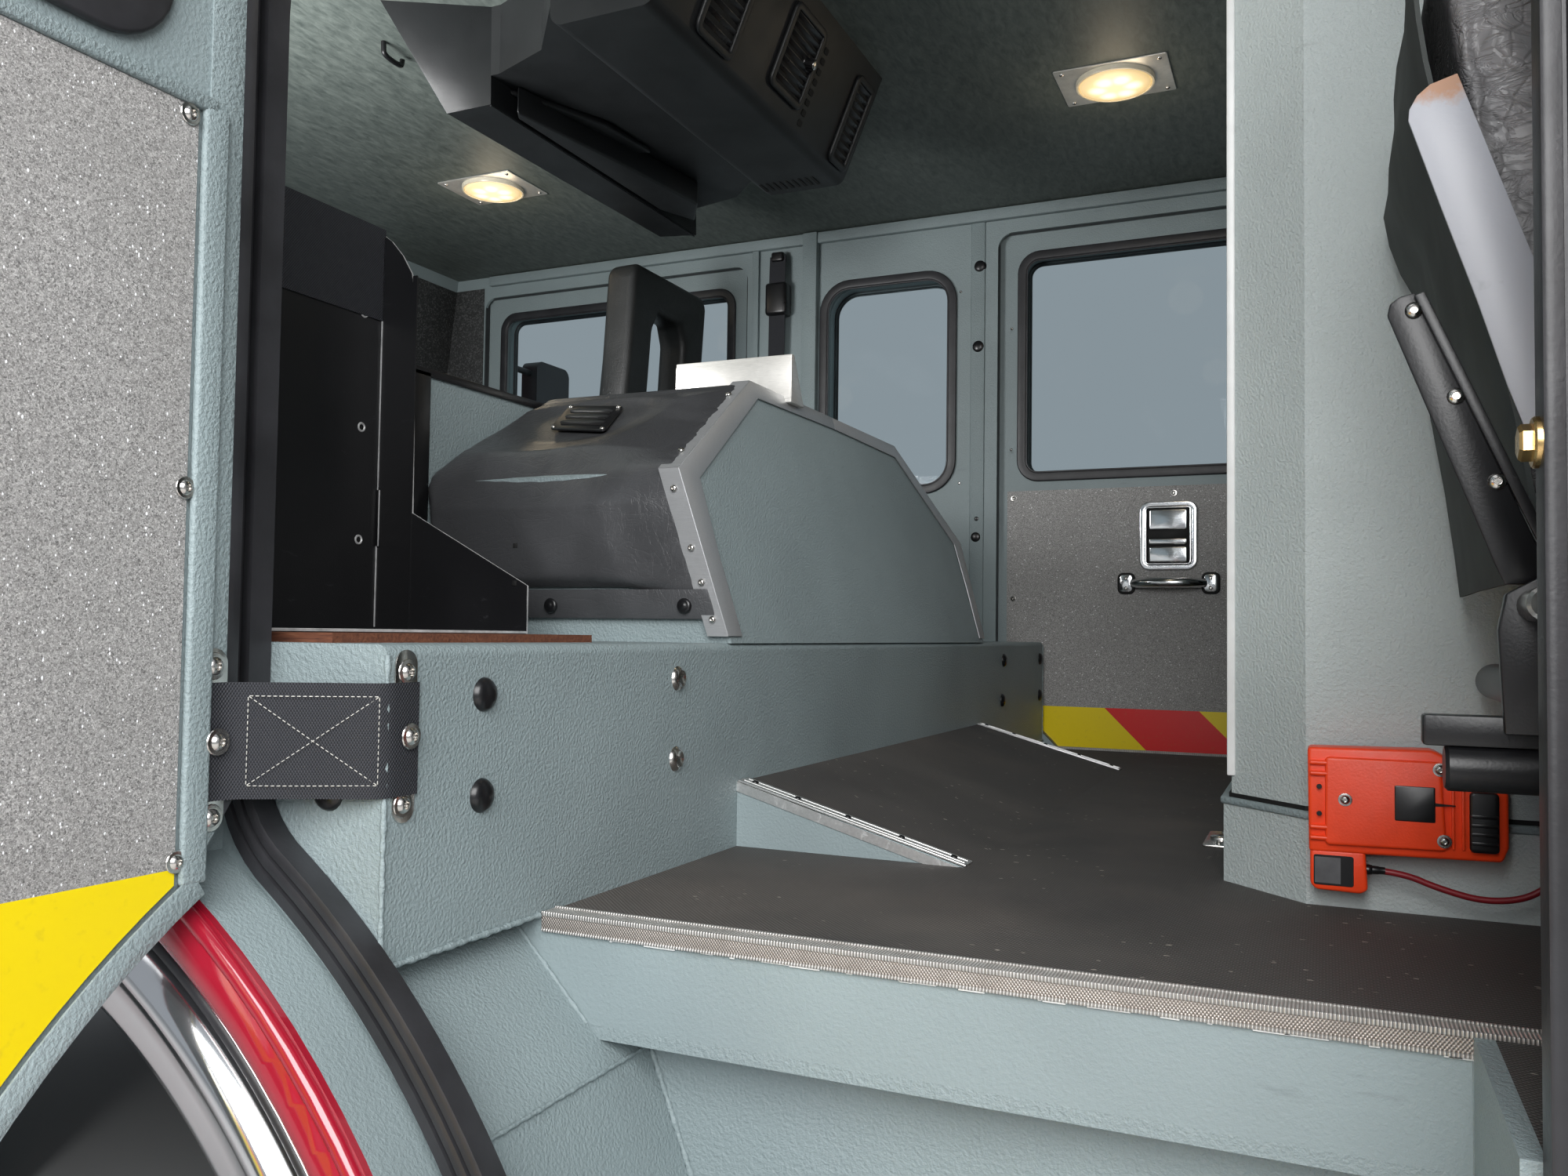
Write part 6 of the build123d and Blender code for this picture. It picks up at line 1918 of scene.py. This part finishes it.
# Belt webbing below the reel: X from the reel's middle, Y and Z
BELT = [(0, 1122, 1545), (0, 1119, 1500), (0, 1118, 1440), (0, 1120, 1380), (3, 1124, 1200), (0, 1128, 1000),
        (0, 1128, 500)]


def make_pillar_parts():
    """Pillar rails, belts and reels, jamb bolts, and covers of the front corner posts."""
    rails, belts, dark, bolts, covers = (bmesh.new() for _ in range(5))
    for side, _ in SIDES:
        for x0, x1, y_in in ((-1240, -1198, 1128), (-1060, -1040, 1140), (-1705, -1668, 1146)):
            low, high = sorted((side * y_in, side * 1151))
            join(rails, block((x0, low, 505), (x1, high, 1604), 3.0, 2))
        low, high = sorted((side * 1134, side * 1151))
        join(rails, block((-2590, low, 1574), (-130, high, 1604), 4.0, 2))
        low, high = sorted((side * 1104, side * INNER))
        join(dark, block((REEL_X - 32, low, 1380), (REEL_X + 32, high, 1470), 9.0, 3))
        join(dark, block((REEL_X - 18, low + 8, 1530), (REEL_X + 18, high - 8, 1556), 5.0, 3))
        belt = [(REEL_X + x - 24, side * y, z) for x, y, z in BELT]
        join(belts, ribbon(belt, (48, 0, 0), 1.6))
        join(bolts, bar((-2602, side * 1158, 604), (-2588, side * 1158, 604), 9.5, 6, 1.5))
        join(bolts, bar((-2604, side * 1158, 604), (-2594, side * 1158, 604), 13.0, 24, 1.0))
        post = ((868, 905), (1149, 905), (1149, 1570), (868, 1570))
        face = [(POST_X - RAKE * (z - RAKE_FOOT), side * y, z) for y, z in post]
        panels = slab(face, (-3.0, 0, 0), 0.8)
        wall = [(-104, 880), (92, 880), (6, 1572), (-104, 1572)]
        join(panels, slab(on_plane("y", side * 1149.5, wall), (0, -side * 3.0, 0), 0.8))
        join(covers, panels)
    finished("corner_post_covers", covers, spatter)
    finished("pillar_rails", rails, grey)
    finished("jamb_bolts", bolts, brass)
    finished("belt_reels", dark, plug_plastic)
    finished("belt_webbing", belts, strap_web)


make_pillar_parts()


# Floor and light

STAGE_HALF = 30.0
STAGE_MIDDLE = (-1.4, 0.0, -0.3505)
SKY = (0.86, 0.92, 1.0)
SKY_POWER = 0.38
DOME_LAMP_Z = 1.52

# Name, place, target, power in watts, width and height
LAMPS = [("door_light", (-3.0, 3.0, 1.65), (-1.9, 0.3, 0.4), 118.0, (2.2, 1.8)),
         ("roof_light", (-1.0, 0.5, 4.5), (-1.4, 0.0, 0.5), 50.0, (4.0, 4.0)),
         ("bounce_light", (-0.75, 0.80, 1.05), (-1.0, 0.25, 1.6), 20.0, (0.5, 0.5))]


def add_light(name, kind, place, target, power, size, colour=(1.0, 1.0, 1.0)):
    """One lamp, aimed at a target; an area lamp's size is its width and height."""
    lamp = bpy.data.objects.new(name, bpy.data.lights.new(name, kind))
    lamp.data.energy = power
    lamp.data.color = colour
    if kind == "AREA":
        lamp.data.shape = "RECTANGLE"
        lamp.data.size, lamp.data.size_y = size
    else:
        lamp.data.shadow_soft_size = size
    lamp.location = place
    lamp.rotation_euler = (Vector(target) - Vector(place)).to_track_quat("-Z", "Y").to_euler()
    bpy.context.scene.collection.objects.link(lamp)


def add_stage():
    """Pale floor under the cab."""
    bm = bmesh.new()
    bmesh.ops.create_grid(bm, x_segments=1, y_segments=1, size=STAGE_HALF)
    bmesh.ops.translate(bm, verts=bm.verts, vec=STAGE_MIDDLE)
    mesh = bpy.data.meshes.new("stage_floor")
    bm.to_mesh(mesh)
    bm.free()
    stage = bpy.data.objects.new("stage_floor", mesh)
    bpy.context.scene.collection.objects.link(stage)
    finish = Finish("stage_finish", Roughness=0.85)
    soft = finish.noise(0.6, 2.0)
    finish.set("Base Color", finish.mix(soft, (0.62, 0.62, 0.61), (0.68, 0.68, 0.67)))
    mesh.materials.append(finish.material)


def set_world():
    """Even, faintly blue daylight from all sides."""
    world = bpy.data.worlds.new("studio")
    bpy.context.scene.world = world
    world.use_nodes = True
    tree = world.node_tree
    tree.nodes.clear()
    out = tree.nodes.new("ShaderNodeOutputWorld")
    shade = tree.nodes.new("ShaderNodeBackground")
    shade.inputs["Color"].default_value = (*SKY, 1.0)
    shade.inputs["Strength"].default_value = SKY_POWER
    tree.links.new(shade.outputs[0], out.inputs[0])


add_stage()
set_world()
for name, place, target, power, size in LAMPS:
    add_light(name, "AREA", place, target, power, size)
for number, (x, y) in enumerate([(x * MM, y * MM) for x in DOME_X for y in DOME_Y]):
    add_light(f"dome_{number}", "POINT", (x, y, DOME_LAMP_Z), (x, y, 0.0), 0.4, 0.05, (1.0, 0.82, 0.58))

bpy.context.scene.view_settings.view_transform = "Standard"
